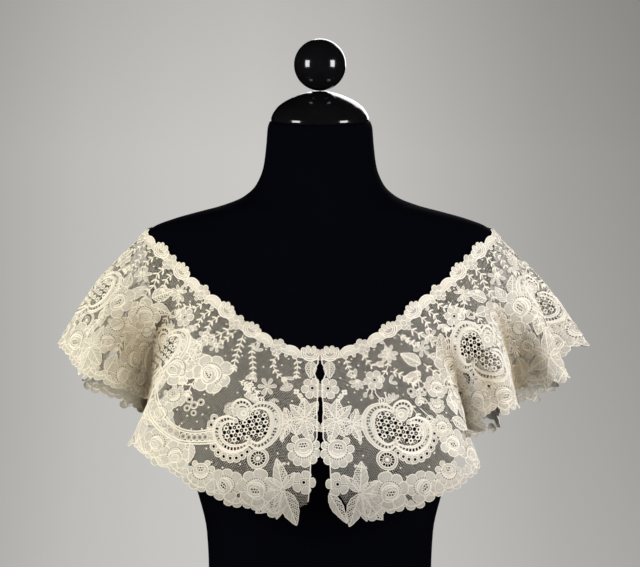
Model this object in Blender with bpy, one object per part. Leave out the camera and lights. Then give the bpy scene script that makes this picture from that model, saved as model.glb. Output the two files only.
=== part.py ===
"""Bertha collar of needle lace, shown on the limbless dress form that it rests on.

Metres, +Z up, the front of the form faces -Y. The origin is the middle of the form's flat foot.
Tables are in millimetres, and MM turns them into metres.
"""

import math
from collections import namedtuple

import bpy
import numpy as np
from mathutils import Vector
from mathutils.bvhtree import BVHTree

MM = 0.001

# Dress form: one row for each level of the torso and neck, from the foot up.
Section = namedtuple("Section", "height half_width front back power")
FORM_SECTIONS = [
    Section(0, 157, 99, 112, 2.3),
    Section(5, 162, 104, 117, 2.3),
    Section(45, 166, 107, 120, 2.3),
    Section(85, 161, 103, 114, 2.3),
    Section(120, 146, 94, 99, 2.3),
    Section(150, 130, 85, 83, 2.3),
    Section(180, 120, 80, 75, 2.3),
    Section(222, 122, 86, 79, 2.3),
    Section(265, 132, 99, 88, 2.3),
    Section(306, 146, 112, 95, 2.3),
    Section(345, 158, 119, 101, 2.3),
    Section(384, 167, 114, 105, 2.4),
    Section(422, 174, 101, 107, 2.5),
    Section(460, 180, 86, 106, 2.6),
    Section(498, 185, 73, 101, 2.6),
    Section(526, 188, 64, 94, 2.6),
    Section(542, 188, 60, 88, 2.5),
    Section(551, 179, 57, 82, 2.3),
    Section(560, 156, 55, 77, 2.2),
    Section(567, 131, 54, 72, 2.1),
    Section(574, 105, 53, 67, 2.0),
    Section(583, 83, 53, 63, 2.0),
    Section(596, 69, 54, 59, 2.0),
    Section(616, 61, 54, 56, 2.0),
    Section(640, 58, 54, 54, 2.0),
    Section(658, 56.5, 53, 53, 2.0),
    Section(664, 54.5, 51, 51, 2.0),
]
FORM_SIDES = 36
BUST_APEX = (72, 345)  # sideways and height
BUST_REACH = 14
BUST_SPREAD = (46, 42)  # sideways and up
NECK_TILT = math.radians(8)  # the neck's top slopes down to the front
TILT_FROM = 600  # height where that slope begins

# Cap and finial: turned, one row for each ring of the profile, along the neck's tilted axis.
CAP_PROFILE = [(52.0, 0.3), (52.6, 3), (50.0, 11), (44.5, 17.5), (36, 23), (25, 28.2), (12, 32), (7, 33.5)]
FINIAL_RADIUS = 28
FINIAL_RINGS = 11
FINIAL_CROWN = 0.12  # radians left flat at the ball's top
STUD_RADIUS = 5.5
TURNED_SIDES = 24
SEAM = 0.3  # gap between pieces that touch

# Lace: sizes of the flat cut. It is a ring, and each half has whole repeats of the design.
DEPTH = 190  # neck edge to hem
REPEATS = 5  # of the design in each half
COLUMNS_PER_LOBE = 4
SPREAD = 1.95  # hem length over neck length
ROW_SHARES = (0, 0.12, 0.27, 0.44, 0.62, 0.80, 1)  # of the depth, one for each row of the wall
WALL = 1.4
CLEARANCE = 0.45  # between the lace and the form
CLEAR_ROUNDS = 14  # at most, of moving a wall's points off the form

# The hem's scallops. Reach is how far each goes below the base line, width is along the flat hem.
Lobe = namedtuple("Lobe", "motif width reach pointed")
FRONT_LOBES = [
    Lobe("front flower", 11, 2, False),
    Lobe("long leaf", 24, 20, True),
    Lobe("leaf", 28, 11, True),
    Lobe("rose", 22, 5, False),
    Lobe("rose", 24, 8, False),
    Lobe("bud", 18, 5, False),
    Lobe("rose", 26, 8, False),
    Lobe("rose", 22, 5, False),
    Lobe("leaf", 23, 9, True),
]
HEM_LOBES = [
    Lobe("rose", 22, 5, False),
    Lobe("leaf", 20, 11, True),
    Lobe("rose", 26, 8, False),
    Lobe("rose", 22, 5, False),
    Lobe("long leaf", 22, 13, True),
    Lobe("leaf", 18, 7, True),
    Lobe("rose", 26, 8, False),
    Lobe("bud", 18, 5, False),
    Lobe("rose", 24, 7, False),
]
HEM_BASE = -3

# Where the neck edge runs on the form, from the front centre over the shoulder to the back centre.
NeckPoint = namedtuple("NeckPoint", "x y z")
NECK_EDGE = [
    NeckPoint(0, -107, 415),
    NeckPoint(21, -106, 418),
    NeckPoint(42, -103, 425),
    NeckPoint(63, -99, 437),
    NeckPoint(84, -93, 450),
    NeckPoint(105, -84, 468),
    NeckPoint(127, -72, 484),
    NeckPoint(149, -59, 503),
    NeckPoint(171, -37, 526),
    NeckPoint(188, 0, 545),
    NeckPoint(177, 45, 537),
    NeckPoint(148, 80, 520),
    NeckPoint(105, 98, 504),
    NeckPoint(55, 104, 493),
    NeckPoint(0, 106, 489),
]

# The hem's line, one row for each turn, ridge or trough, in the same order. x is away from the middle.
HemPoint = namedtuple("HemPoint", "name x y z")
RIGHT_HEM = [
    HemPoint("front edge", 0, -139, 257),
    HemPoint("front", 50, -144, 252),
    HemPoint("bust side", 100, -142, 262),
    HemPoint("front turn", 142, -130, 283),
    HemPoint("corner ridge", 166, -104, 301),
    HemPoint("armhole trough", 152, -62, 333),
    HemPoint("broad ridge, near", 180, -98, 360),
    HemPoint("broad ridge", 206, -96, 361),
    HemPoint("second trough", 206, -34, 379),
    HemPoint("leaf ridge", 261, -60, 391),
    HemPoint("third trough", 248, -12, 409),
    HemPoint("shoulder ridge", 288, -10, 429),
    HemPoint("back trough", 240, 40, 404),
    HemPoint("back ridge", 264, 84, 376),
    HemPoint("second back trough", 200, 82, 352),
    HemPoint("broad back ridge", 196, 126, 326),
    HemPoint("shoulder blade trough", 146, 106, 312),
    HemPoint("shoulder blade ridge", 116, 134, 300),
    HemPoint("back hollow", 66, 124, 294),
    HemPoint("back centre", 0, 128, 292),
]
LEFT_HEM = [
    HemPoint("front edge", 0, -139, 258),
    HemPoint("front", 50, -144, 256),
    HemPoint("bust side", 100, -143, 268),
    HemPoint("front turn", 150, -134, 295),
    HemPoint("corner ridge", 192, -112, 322),
    HemPoint("armhole trough, near", 182, -66, 352),
    HemPoint("armhole trough", 186, -36, 372),
    HemPoint("wing, near", 212, -76, 383),
    HemPoint("wing", 240, -86, 395),
    HemPoint("wing, far", 260, -50, 410),
    HemPoint("shoulder ridge", 277, -8, 430),
    HemPoint("back trough", 238, 34, 404),
    HemPoint("back ridge", 260, 78, 380),
    HemPoint("second back trough", 198, 78, 351),
    HemPoint("broad back ridge", 194, 122, 328),
    HemPoint("shoulder blade trough", 144, 106, 312),
    HemPoint("shoulder blade ridge", 112, 132, 300),
    HemPoint("back hollow", 62, 122, 294),
    HemPoint("back centre", 0, 128, 292),
]
BULGE = 9  # how far the lace stands out, halfway down, from the straight line neck to hem
BULGE_RISE = 0.6  # how much of that goes upward
FAN = 0.3  # how much the bulge turns away from the middle
FOLD_START = 1.25  # power that keeps the folds soft near the neck
CALM_ROUNDS = 400  # of averaging that take the folds out of the hem's line
SETTLE_ROUNDS = 3  # of pushing the surface off the form and softening what was pushed
DENSE_COLUMNS = 161  # of the worked-out surface that the walls are read from
DENSE_ROWS = 29
CURVE_STEPS = 40  # between two points of a smooth curve
DEEPEST = 1.12  # how far that surface goes past the hem's line, as a share of the depth

# How far the scalloped front edge is held back from the middle, by share of the depth.
FrontEdge = namedtuple("FrontEdge", "down back")
FRONT_EDGE = [
    FrontEdge(0.00, 0.2),
    FrontEdge(0.06, 0.4),
    FrontEdge(0.12, 4.8),
    FrontEdge(0.20, 0.4),
    FrontEdge(0.31, 0.4),
    FrontEdge(0.38, 1.6),
    FrontEdge(0.43, 0.6),
    FrontEdge(0.57, 0.6),
    FrontEdge(0.63, 4.5),
    FrontEdge(0.72, 7.0),
    FrontEdge(0.86, 8.0),
    FrontEdge(1.00, 11.0),
]
EDGE_BLEND = 0.05  # share of the half over which that fades out
CORNER_FOLD = 24  # on the right the front corner is folded back along a slant this deep

# Neck border: a raised scalloped band of shells, sprays and scrolls.
BorderLobe = namedtuple("BorderLobe", "motif width reach")
BORDER_LOBES = [
    BorderLobe("shell", 20, 4.5),
    BorderLobe("spray", 14, 3.5),
    BorderLobe("shell", 20, 4.0),
    BorderLobe("scroll", 16, 3.0),
    BorderLobe("spray", 14, 3.5),
    BorderLobe("scroll", 16, 3.0),
]
BORDER_TOP = -3.5  # the band's upper edge between lobes, from the lace's neck edge
BORDER_DROP = 7.0
BORDER_WALL = 1.1
BORDER_CLEARANCE = 0.9  # between the band and the form


def material(name, colour, roughness, metallic=0.0):
    """A plain Principled material."""
    made = bpy.data.materials.new(name)
    made.use_nodes = True
    shader = made.node_tree.nodes["Principled BSDF"]
    shader.inputs["Base Color"].default_value = (*colour, 1.0)
    shader.inputs["Roughness"].default_value = roughness
    shader.inputs["Metallic"].default_value = metallic
    return made


def add_object(name, points, faces, finish, smooth=True):
    """A mesh object from points in millimetres."""
    mesh = bpy.data.meshes.new(name)
    mesh.from_pydata([tuple(p) for p in np.asarray(points, float) * MM], [], faces)
    mesh.validate()
    if smooth:
        mesh.shade_smooth()
    mesh.materials.append(finish)
    made = bpy.data.objects.new(name, mesh)
    bpy.context.scene.collection.objects.link(made)
    return made


def bridged_rings(rings):
    """Points and faces of a closed body through rings of equal count, with flat ends."""
    count = len(rings[0])
    points = np.concatenate(rings)
    faces = [tuple(reversed(range(count)))]
    for k in range(len(rings) - 1):
        for i in range(count):
            j = (i + 1) % count
            low, high = k * count, (k + 1) * count
            faces.append((low + i, low + j, high + j, high + i))
    faces.append(tuple(range(len(points) - count, len(points))))
    return points, faces


def smooth_step(value):
    value = np.clip(value, 0.0, 1.0)
    return value * value * (3 - 2 * value)


def form_ring(section):
    """One level of the form: a rounded oval, with the bust standing out in front."""
    turn = np.arange(FORM_SIDES) * 2 * math.pi / FORM_SIDES
    across, along = np.cos(turn), np.sin(turn)
    share = 2 / section.power
    x = section.half_width * np.sign(across) * np.abs(across) ** share
    depth = np.where(along < 0, section.front, section.back)
    y = depth * np.sign(along) * np.abs(along) ** share
    side = np.exp(-(((np.abs(x) - BUST_APEX[0]) / BUST_SPREAD[0]) ** 2))
    level = math.exp(-(((section.height - BUST_APEX[1]) / BUST_SPREAD[1]) ** 2))
    y = y - np.where(along < 0, BUST_REACH * side * level, 0)
    slope = smooth_step((section.height - TILT_FROM) / (FORM_SECTIONS[-1].height - TILT_FROM))
    z = section.height + y * math.tan(NECK_TILT) * slope
    return np.stack([x, y, z], axis=1)


def make_form(finish):
    points, faces = bridged_rings([form_ring(s) for s in FORM_SECTIONS])
    return add_object("dress_form", points, faces, finish)


def turned(name, profile, finish):
    """A turned piece on the neck's tilted axis, from (radius, height) rows above the neck's top."""
    turn = np.arange(TURNED_SIDES) * 2 * math.pi / TURNED_SIDES
    rings = []
    for radius, height in profile:
        ring = np.stack([radius * np.cos(turn), radius * np.sin(turn), np.full_like(turn, height)], axis=1)
        y = ring[:, 1] * math.cos(NECK_TILT) - ring[:, 2] * math.sin(NECK_TILT)
        z = ring[:, 1] * math.sin(NECK_TILT) + ring[:, 2] * math.cos(NECK_TILT)
        ring[:, 1] = y
        ring[:, 2] = z + FORM_SECTIONS[-1].height
        rings.append(ring)
    points, faces = bridged_rings(rings)
    return add_object(name, points, faces, finish)


def make_cap_and_finial(finish):
    turned("neck_cap", CAP_PROFILE, finish)
    foot = CAP_PROFILE[-1][1] + SEAM
    start = math.asin(STUD_RADIUS / FINIAL_RADIUS)
    centre = foot + SEAM + FINIAL_RADIUS * math.cos(start)
    steps = np.linspace(start, math.pi - FINIAL_CROWN, FINIAL_RINGS)
    ball = [(FINIAL_RADIUS * math.sin(a), centre - FINIAL_RADIUS * math.cos(a)) for a in steps]
    turned("finial_ball", [(STUD_RADIUS, foot)] + ball, finish)


def curve_through(rows, count):
    """A smooth curve through points, read at count places an equal way apart along it."""
    rows = np.asarray(rows, float)
    padded = np.concatenate([[2 * rows[0] - rows[1]], rows, [2 * rows[-1] - rows[-2]]])
    fine = []
    share = np.linspace(0, 1, CURVE_STEPS, endpoint=False)[:, None]
    for k in range(1, len(padded) - 2):
        a, b, c, d = padded[k - 1 : k + 3]
        fine.append(
            0.5 * (2 * b + (c - a) * share + (2 * a - 5 * b + 4 * c - d) * share**2
                   + (3 * b - a - 3 * c + d) * share**3)
        )
    fine = np.concatenate(fine + [rows[-1:]])
    way = np.concatenate([[0], np.cumsum(np.linalg.norm(np.diff(fine, axis=0), axis=1))])
    at = np.linspace(0, way[-1], count)
    return np.stack([np.interp(at, way, fine[:, k]) for k in range(3)], axis=1)


def tree_of(meshes, side):
    """The triangles of some meshes for nearest-point queries, mirrored for the left half."""
    corners, faces = [], []
    for mesh in meshes:
        mesh.calc_loop_triangles()
        first = len(corners)
        corners += [(v.co.x * side, v.co.y, v.co.z) for v in mesh.vertices]
        faces += [tuple(first + k for k in tuple(t.vertices)[::side]) for t in mesh.loop_triangles]
    return BVHTree.FromPolygons(corners, faces)


def nearest_on(tree, point):
    """Nearest place on the form and its outward normal, in millimetres."""
    place, normal, _, _ = tree.find_nearest(Vector(point) * MM)
    return np.array(place) / MM, np.array(normal)


def push_clear(tree, points, clearance):
    """Moves each point that is too near the form out along the form's normal."""
    moved = points.copy()
    for k, point in enumerate(points.reshape(-1, 3)):
        place, normal = nearest_on(tree, point)
        short = clearance - (point - place) @ normal
        if short > 0:
            moved.reshape(-1, 3)[k] = point + normal * short
    return moved


def soften(grid):
    """Averages a grid of vectors with its neighbours, edges kept."""
    padded = np.pad(grid, ((1, 1), (1, 1), (0, 0)), mode="edge")
    return (
        padded[1:-1, 1:-1] * 4 + padded[:-2, 1:-1] + padded[2:, 1:-1]
        + padded[1:-1, :-2] + padded[1:-1, 2:]
    ) / 8


def lace_surface(tree, hem_rows):
    """The inner face of one half as a dense grid of points: columns along the neck, rows down.

    Each column is the straight line from neck to hem, bulged outward; folds grow down the line.
    """
    neck = curve_through(NECK_EDGE, DENSE_COLUMNS)
    for k, point in enumerate(neck):
        place, normal = nearest_on(tree, point)
        neck[k] = place + normal * CLEARANCE
    neck[0, 0] = neck[-1, 0] = 0
    hem = curve_through([(r.x, r.y, r.z) for r in hem_rows], DENSE_COLUMNS)
    calm = hem.copy()
    for _ in range(CALM_ROUNDS):
        calm[1:-1] = (calm[:-2] + 2 * calm[1:-1] + calm[2:]) / 4
    down = np.linspace(0, DEEPEST, DENSE_ROWS)[:, None]
    grid = (
        neck[:, None] + (calm - neck)[:, None] * down[None]
        + (hem - calm)[:, None] * down[None] ** FOLD_START
    )
    out = calm - neck
    out[:, :2] += neck[:, :2] * FAN
    out /= np.linalg.norm(out[:, :2], axis=1)[:, None]
    out[:, 2] = BULGE_RISE
    arch = np.sin(np.pi * np.clip(down, 0, 1)) * BULGE
    grid = grid + out[:, None] * arch[None]
    for _ in range(SETTLE_ROUNDS):
        shift = push_clear(tree, grid, CLEARANCE) - grid
        for _ in range(SETTLE_ROUNDS):
            shift[:, 1:] = soften(shift)[:, 1:]
        grid = grid + shift
    return push_clear(tree, grid, CLEARANCE)


def read_grid(grid, along, down):
    """Points of the grid at shares along (0 to 1) and down (0 to DEEPEST), straight between its points."""
    i = np.clip(along, 0, 1) * (grid.shape[0] - 1)
    j = np.clip(down / DEEPEST, 0, 1) * (grid.shape[1] - 1)
    i0 = np.minimum(i.astype(int), grid.shape[0] - 2)
    j0 = np.minimum(j.astype(int), grid.shape[1] - 2)
    a, b = (i - i0)[..., None], (j - j0)[..., None]
    return (
        grid[i0, j0] * (1 - a) * (1 - b) + grid[i0 + 1, j0] * a * (1 - b)
        + grid[i0, j0 + 1] * (1 - a) * b + grid[i0 + 1, j0 + 1] * a * b
    )


def clear_cells(tree, points, clearance):
    """Moves a grid's points out until places all over its cells clear the form too.

    A cell is two triangles that meet on the diagonal from its first corner, as in the walls.
    """
    moved = points.copy()
    places = [(a, b) for a in (0.0, 0.5, 1.0) for b in (0.15, 0.35, 0.5, 0.65, 0.85)]
    for _ in range(CLEAR_ROUNDS):
        lift = np.zeros_like(moved)
        corners = [lift[:-1, :-1], lift[1:, :-1], lift[:-1, 1:], lift[1:, 1:]]
        for a, b in places:
            low, high = min(a, b), max(a, b)
            side = moved[:-1, 1:] if b > a else moved[1:, :-1]
            place = moved[:-1, :-1] * (1 - high) + side * (high - low) + moved[1:, 1:] * low
            shift = push_clear(tree, place, clearance) - place
            for corner in corners:
                larger = np.linalg.norm(shift, axis=2) > np.linalg.norm(corner, axis=2)
                corner[larger] = shift[larger]
        if not lift.any():
            break
        moved = moved + lift
    return moved


def grid_normals(points):
    """Unit normals of a grid of points, out of the collar."""
    along = np.gradient(points, axis=0)
    down = np.gradient(points, axis=1)
    normal = np.cross(down, along)
    return normal / np.linalg.norm(normal, axis=2)[..., None]


def lobe_columns(lobes):
    """Where the wall's columns stand, each column's lobe, and its place across that lobe (-1 to 1).

    Every lobe has the same number of columns; the shares along the half follow the lobes' widths.
    """
    widths = np.array([lobe.width for lobe in lobes], float)
    starts = np.concatenate([[0], np.cumsum(widths)]) / widths.sum()
    step = np.arange(len(lobes) * COLUMNS_PER_LOBE + 1)
    number = np.minimum(step // COLUMNS_PER_LOBE, len(lobes) - 1)
    part = step / COLUMNS_PER_LOBE - number
    along = starts[number] + part * (starts[number + 1] - starts[number])
    return along, number, part * 2 - 1


def hem_reach(lobes, number, offset):
    """How far the scalloped hem lies below its base line at each column: arcs, or points on leaves."""
    reach = np.array([lobes[n].reach for n in number])
    pointed = np.array([lobes[n].pointed for n in number])
    shape = np.where(pointed, (1 - np.abs(offset)) ** 0.8, np.sqrt(1 - offset**2))
    return HEM_BASE + reach * shape


def wall_between(outer, inner):
    """Points and faces of a closed wall between two grids of the same size."""
    columns, rows = outer.shape[:2]
    points = np.concatenate([outer.reshape(-1, 3), inner.reshape(-1, 3)])
    back = columns * rows

    def at(i, j):
        return i * rows + j

    faces = []
    for i in range(columns - 1):
        for j in range(rows - 1):
            for face in (
                (at(i, j), at(i, j + 1), at(i + 1, j + 1)),
                (at(i, j), at(i + 1, j + 1), at(i + 1, j)),
            ):
                faces.append(face)
                faces.append(tuple(back + k for k in reversed(face)))
    border = [(i, 0) for i in range(columns)]
    border += [(columns - 1, j) for j in range(1, rows)]
    border += [(i, rows - 1) for i in range(columns - 2, -1, -1)]
    border += [(0, j) for j in range(rows - 2, 0, -1)]
    for a, b in zip(border, border[1:] + border[:1]):
        faces.append((at(*a), at(*b), back + at(*b), back + at(*a)))
    return points, faces


def add_wall(name, outer, inner, side, finish):
    """A wall object on one side. On the left the grids are mirrored, and the faces turned round."""
    points, faces = wall_between(outer, inner)
    points[:, 0] *= side
    if side < 0:
        faces = [tuple(reversed(f)) for f in faces]
    return add_object(name, points, faces, finish)


def edge_shares(down, neck_length):
    """Share of the half by which the front edge is held back, at shares of the depth."""
    table = np.array(FRONT_EDGE)
    held = np.interp(down, table[:, 0], table[:, 1])
    return held / neck_length / (1 + (SPREAD - 1) * down)


def make_half(side_name, side, form, hem_rows, lace, border):
    """One half of the collar: its lace wall, and the raised border along its neck edge."""
    tree = tree_of([form.data], side)
    grid = lace_surface(tree, hem_rows)
    neck_length = np.linalg.norm(np.diff(grid[:, 0], axis=0), axis=1).sum()
    lobes = FRONT_LOBES + HEM_LOBES * (REPEATS - 1)
    along, number, offset = lobe_columns(lobes)
    reach = hem_reach(lobes, number, offset)
    if side > 0:
        tip = int(COLUMNS_PER_LOBE * 1.5)
        reach[:tip] = np.interp(along[:tip], [0, along[tip]], [-CORNER_FOLD, reach[tip]])
    share = np.array(ROW_SHARES)
    down = share[None] * (1 + reach / DEPTH)[:, None]
    fade = smooth_step(1 - along / EDGE_BLEND)[:, None]
    back_fade = smooth_step(1 - (1 - along) / EDGE_BLEND)[:, None]
    held = edge_shares(share, neck_length)[None]
    shares = along[:, None] + held * fade - back_fade * SEAM / 2 / neck_length
    inner = clear_cells(tree, read_grid(grid, shares, down), CLEARANCE / 2)
    outer = inner + grid_normals(inner) * WALL
    inner[0, :, 0] = np.maximum(inner[0, :, 0], SEAM / 2)
    outer[0, :, 0] = np.maximum(outer[0, :, 0], SEAM / 2)
    inner[-1, :, 0] = outer[-1, :, 0] = SEAM / 2
    wall = add_wall("lace_" + side_name, outer, inner, side, lace)
    make_border(side_name, side, tree, tree_of([wall.data], side), grid, neck_length, border)


def make_border(side_name, side, tree, wall_tree, grid, neck_length, finish):
    """The neck band: its upper edge follows round lobes, and it lies on the lace wall's outer face."""
    lobes = BORDER_LOBES * REPEATS
    along, number, offset = lobe_columns(lobes)
    reach = np.array([lobes[n].reach for n in number])
    top = BORDER_TOP - reach * np.sqrt(1 - offset**2)
    end = SEAM / 2 / neck_length
    shares = end + along * (1 - 2 * end)
    on_edge = read_grid(grid, shares, np.zeros(len(along)))
    below = read_grid(grid, shares, np.full(len(along), BORDER_DROP / DEPTH))
    slope = below - on_edge
    slope /= np.linalg.norm(slope, axis=1)[:, None]
    pair = np.stack([on_edge, below], axis=1)
    normal = grid_normals(pair)[:, :1]
    rows = np.stack([on_edge + slope * top[:, None], below], axis=1)
    inner = clear_cells(wall_tree, rows + normal * (WALL + SEAM), SEAM)
    inner = clear_cells(tree, inner, BORDER_CLEARANCE)
    outer = inner + normal * BORDER_WALL
    for points in (inner, outer):
        points[0, :, 0] = SEAM / 2
        points[-1, :, 0] = SEAM / 2
    add_wall("neck_border_" + side_name, outer, inner, side, finish)


def main():
    for old in list(bpy.data.objects):
        bpy.data.objects.remove(old)
    jersey = material("black_jersey", (0.012, 0.012, 0.016), 0.85)
    lacquer = material("black_lacquer", (0.01, 0.01, 0.012), 0.12)
    lace = material("lace_ground", (0.80, 0.76, 0.65), 0.85)
    border = material("lace_border", (0.86, 0.83, 0.74), 0.8)
    form = make_form(jersey)
    make_cap_and_finial(lacquer)
    make_half("right", 1, form, RIGHT_HEM, lace, border)
    make_half("left", -1, form, LEFT_HEM, lace, border)


main()
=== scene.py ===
"""Looks of the needle-lace bertha collar on its limbless dress form.

Lengths are in millimetres until a mesh is made, and MM turns them into metres. A place on the lace is
(along, down): millimetres along the neck edge from the front centre, and down from that edge, on the
flat cut. Motifs are drawn in their own millimetres, +a away from the front centre and +b down.
"""

import math
from collections import namedtuple

import bpy
import numpy as np
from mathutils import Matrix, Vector

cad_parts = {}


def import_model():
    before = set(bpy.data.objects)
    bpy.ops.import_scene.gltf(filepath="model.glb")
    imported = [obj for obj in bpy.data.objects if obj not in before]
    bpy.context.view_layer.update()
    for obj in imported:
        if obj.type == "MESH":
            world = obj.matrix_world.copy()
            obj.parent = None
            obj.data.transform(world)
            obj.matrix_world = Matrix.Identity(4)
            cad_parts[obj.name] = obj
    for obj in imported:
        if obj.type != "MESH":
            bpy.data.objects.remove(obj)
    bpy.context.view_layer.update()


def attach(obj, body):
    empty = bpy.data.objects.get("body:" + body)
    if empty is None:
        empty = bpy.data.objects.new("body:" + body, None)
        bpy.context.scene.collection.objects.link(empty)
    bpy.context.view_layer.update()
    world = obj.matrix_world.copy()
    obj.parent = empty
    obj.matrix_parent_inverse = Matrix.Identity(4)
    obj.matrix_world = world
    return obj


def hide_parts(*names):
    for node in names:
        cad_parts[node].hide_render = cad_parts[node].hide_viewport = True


MM = 0.001

# The dress form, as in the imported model. Each level from the foot up has its height, half width,
# front, back, and the power of its rounded oval.
FORM_SECTIONS = np.array([
    (0, 157, 99, 112, 2.3), (5, 162, 104, 117, 2.3), (45, 166, 107, 120, 2.3), (85, 161, 103, 114, 2.3),
    (120, 146, 94, 99, 2.3), (150, 130, 85, 83, 2.3), (180, 120, 80, 75, 2.3), (222, 122, 86, 79, 2.3),
    (265, 132, 99, 88, 2.3), (306, 146, 112, 95, 2.3), (345, 158, 119, 101, 2.3), (384, 167, 114, 105, 2.4),
    (422, 174, 101, 107, 2.5), (460, 180, 86, 106, 2.6), (498, 185, 73, 101, 2.6), (526, 188, 64, 94, 2.6),
    (542, 188, 60, 88, 2.5), (551, 179, 57, 82, 2.3), (560, 156, 55, 77, 2.2), (567, 131, 54, 72, 2.1),
    (574, 105, 53, 67, 2.0), (583, 83, 53, 63, 2.0), (596, 69, 54, 59, 2.0), (616, 61, 54, 56, 2.0),
    (640, 58, 54, 54, 2.0), (658, 56.5, 53, 53, 2.0), (664, 54.5, 51, 51, 2.0)], float)
FORM_SIDES = 112
RINGS_PER_ROW = 5
BUST_APEX = (72, 345)  # sideways and height
BUST_REACH = 14
BUST_SPREAD = (46, 42)
NECK_TILT = math.radians(8)
TILT_FROM = 600
CAP_PROFILE = np.array([  # radius, and height above the neck's top
    (0, 0.3), (50.6, 0.3), (52.4, 1.2), (52.8, 3.2), (52.0, 6.4), (49.6, 11), (44.5, 17.2), (36, 23),
    (25, 28.0), (15, 31.2), (9.5, 32.4), (7.2, 33.2), (0, 33.4)], float)
FINIAL_RADIUS = 28
STUD_RADIUS = 5.5
STUD_FOOT = 33.8
BALL_CENTRE = 61.6  # above the neck's top, along its axis
TURNED_SIDES = 96
SLOPE_STEP = 0.4  # over which the form's slope is measured
CLEAR_ROUNDS = 6

# The lace's own shape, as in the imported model.
DEPTH = 190
REPEATS = 5
NECK_LENGTH = 514.7  # of one half, along the neck edge
NECK_EDGE = [
    (0, -107, 415), (21, -106, 418), (42, -103, 425), (63, -99, 437), (84, -93, 450), (105, -84, 468),
    (127, -72, 484), (149, -59, 503), (171, -37, 526), (188, 0, 545), (177, 45, 537), (148, 80, 520),
    (105, 98, 504), (55, 104, 493), (0, 106, 489)]
# The hem of each half from the front centre to the back centre: the front and its turn, the armhole's
# trough, the wing's ridges, then troughs and ridges in turn over the shoulder and across the back.
RIGHT_HEM = [
    (0, -139, 257), (50, -144, 252), (100, -142, 262), (142, -130, 283), (166, -104, 301), (152, -62, 333),
    (180, -98, 360), (206, -96, 361), (206, -34, 379), (261, -60, 391), (248, -12, 409), (288, -10, 429),
    (240, 40, 404), (264, 84, 376), (200, 82, 352), (196, 126, 326), (146, 106, 312), (116, 134, 300),
    (66, 124, 294), (0, 128, 292)]
LEFT_HEM = [
    (0, -139, 258), (50, -144, 256), (100, -143, 268), (150, -134, 295), (192, -112, 322), (182, -66, 352),
    (186, -36, 372), (212, -76, 383), (240, -86, 395), (260, -50, 410), (277, -8, 430), (238, 34, 404),
    (260, 78, 380), (198, 78, 351), (194, 122, 328), (144, 106, 312), (112, 132, 300), (62, 122, 294),
    (0, 128, 292)]
BULGE = 9
BULGE_RISE = 0.6
FAN = 0.3
FOLD_START = 1.25
CALM_ROUNDS = 400
SETTLE_ROUNDS = 3
MEASURE_ROUNDS = 60
CURVE_STEPS = 40
HIGHEST = -0.08  # share of the depth by which the surface goes above the neck edge
DEEPEST = 1.12
COARSE_COLUMNS = 161
COARSE_ROWS = 31
FINER = 4  # columns and rows of the smooth surface for each of the coarse one
LACE_CLEAR = 1.0  # between the lace's ground and the form
SEAM = 0.3
FULL_SHADE_DEPTH = 15  # how far behind the cloth's own average a fold lies for its painted shade to be full
FOLD_SHADE_REACH = 56  # columns each way in that average

# Pools of painted shade where each half's wing lies deep in its own shade: side, (along, down), half
# width and height, amount.
PAINTED_SHADE_POOLS = [
    (-1, 192, 128, 25, 62, 1.0), (-1, 166, 150, 12, 46, 0.8), (1, 204, 158, 15, 48, 1.0),
    (1, 150, 150, 10, 60, 0.8)]

# Soft creases between the main folds: (along, down) at both ends, half width, and depth, less than 0
# for a ridge.
CREASES = [
    (26, 70, 30, 190, 9, 0.9), (66, 60, 60, 190, 10, -1.3), (96, 70, 92, 190, 7, 2.2),
    (118, 60, 120, 190, 8, -2.0), (138, 80, 136, 190, 6, 2.4), (176, 50, 186, 190, 7, -2.4),
    (206, 60, 214, 190, 6, 2.2), (238, 40, 250, 190, 8, -2.0), (282, 50, 276, 190, 8, 2.6),
    (318, 60, 322, 190, 7, -2.4), (352, 70, 346, 190, 8, 2.2), (392, 50, 398, 190, 9, -2.0),
    (430, 80, 426, 190, 8, 2.0), (470, 70, 476, 190, 10, -1.6)]
CREASE_FADE = 1.6  # a crease is at its full depth by one part in this of its length

# The hem's lobes: width along the flat hem, reach below the base line, and 1 for a leaf's point.
FRONT_LOBES = [
    (11, 2, 0), (24, 20, 1), (28, 11, 1), (22, 5, 0), (24, 8, 0), (18, 5, 0), (26, 8, 0), (22, 5, 0),
    (23, 9, 1)]
HEM_LOBES = [
    (22, 5, 0), (20, 11, 1), (26, 8, 0), (22, 5, 0), (22, 13, 1), (18, 7, 1), (26, 8, 0), (18, 5, 0),
    (24, 7, 0)]
HEM_BASE = -3
# The front edge: share of the depth down, and how far it stands back.
FRONT_EDGE = [
    (0.00, 0.2), (0.06, 0.4), (0.12, 4.8), (0.20, 0.4), (0.31, 0.4), (0.38, 1.6), (0.43, 0.6), (0.57, 0.6),
    (0.63, 4.5), (0.72, 7.0), (0.86, 8.0), (1.00, 11.0)]
SPREAD = 1.95
EDGE_BLEND = 0.05
CORNER_FOLD = 24
CORNER_SLOPE = 2.2

# The net ground.
NET_COLUMNS = 361
NET_ROWS = 99
NET_INSET = 3.5  # from the hem's and the front edge's outline
NET_PITCH = 2.0  # of its six-sided mesh
ROOT = math.sqrt(3)
NET_THREAD = 0.165
NET_THICKNESS = 0.22
NET_WIDENS = 210  # depth over which the cut is twice as wide

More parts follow.
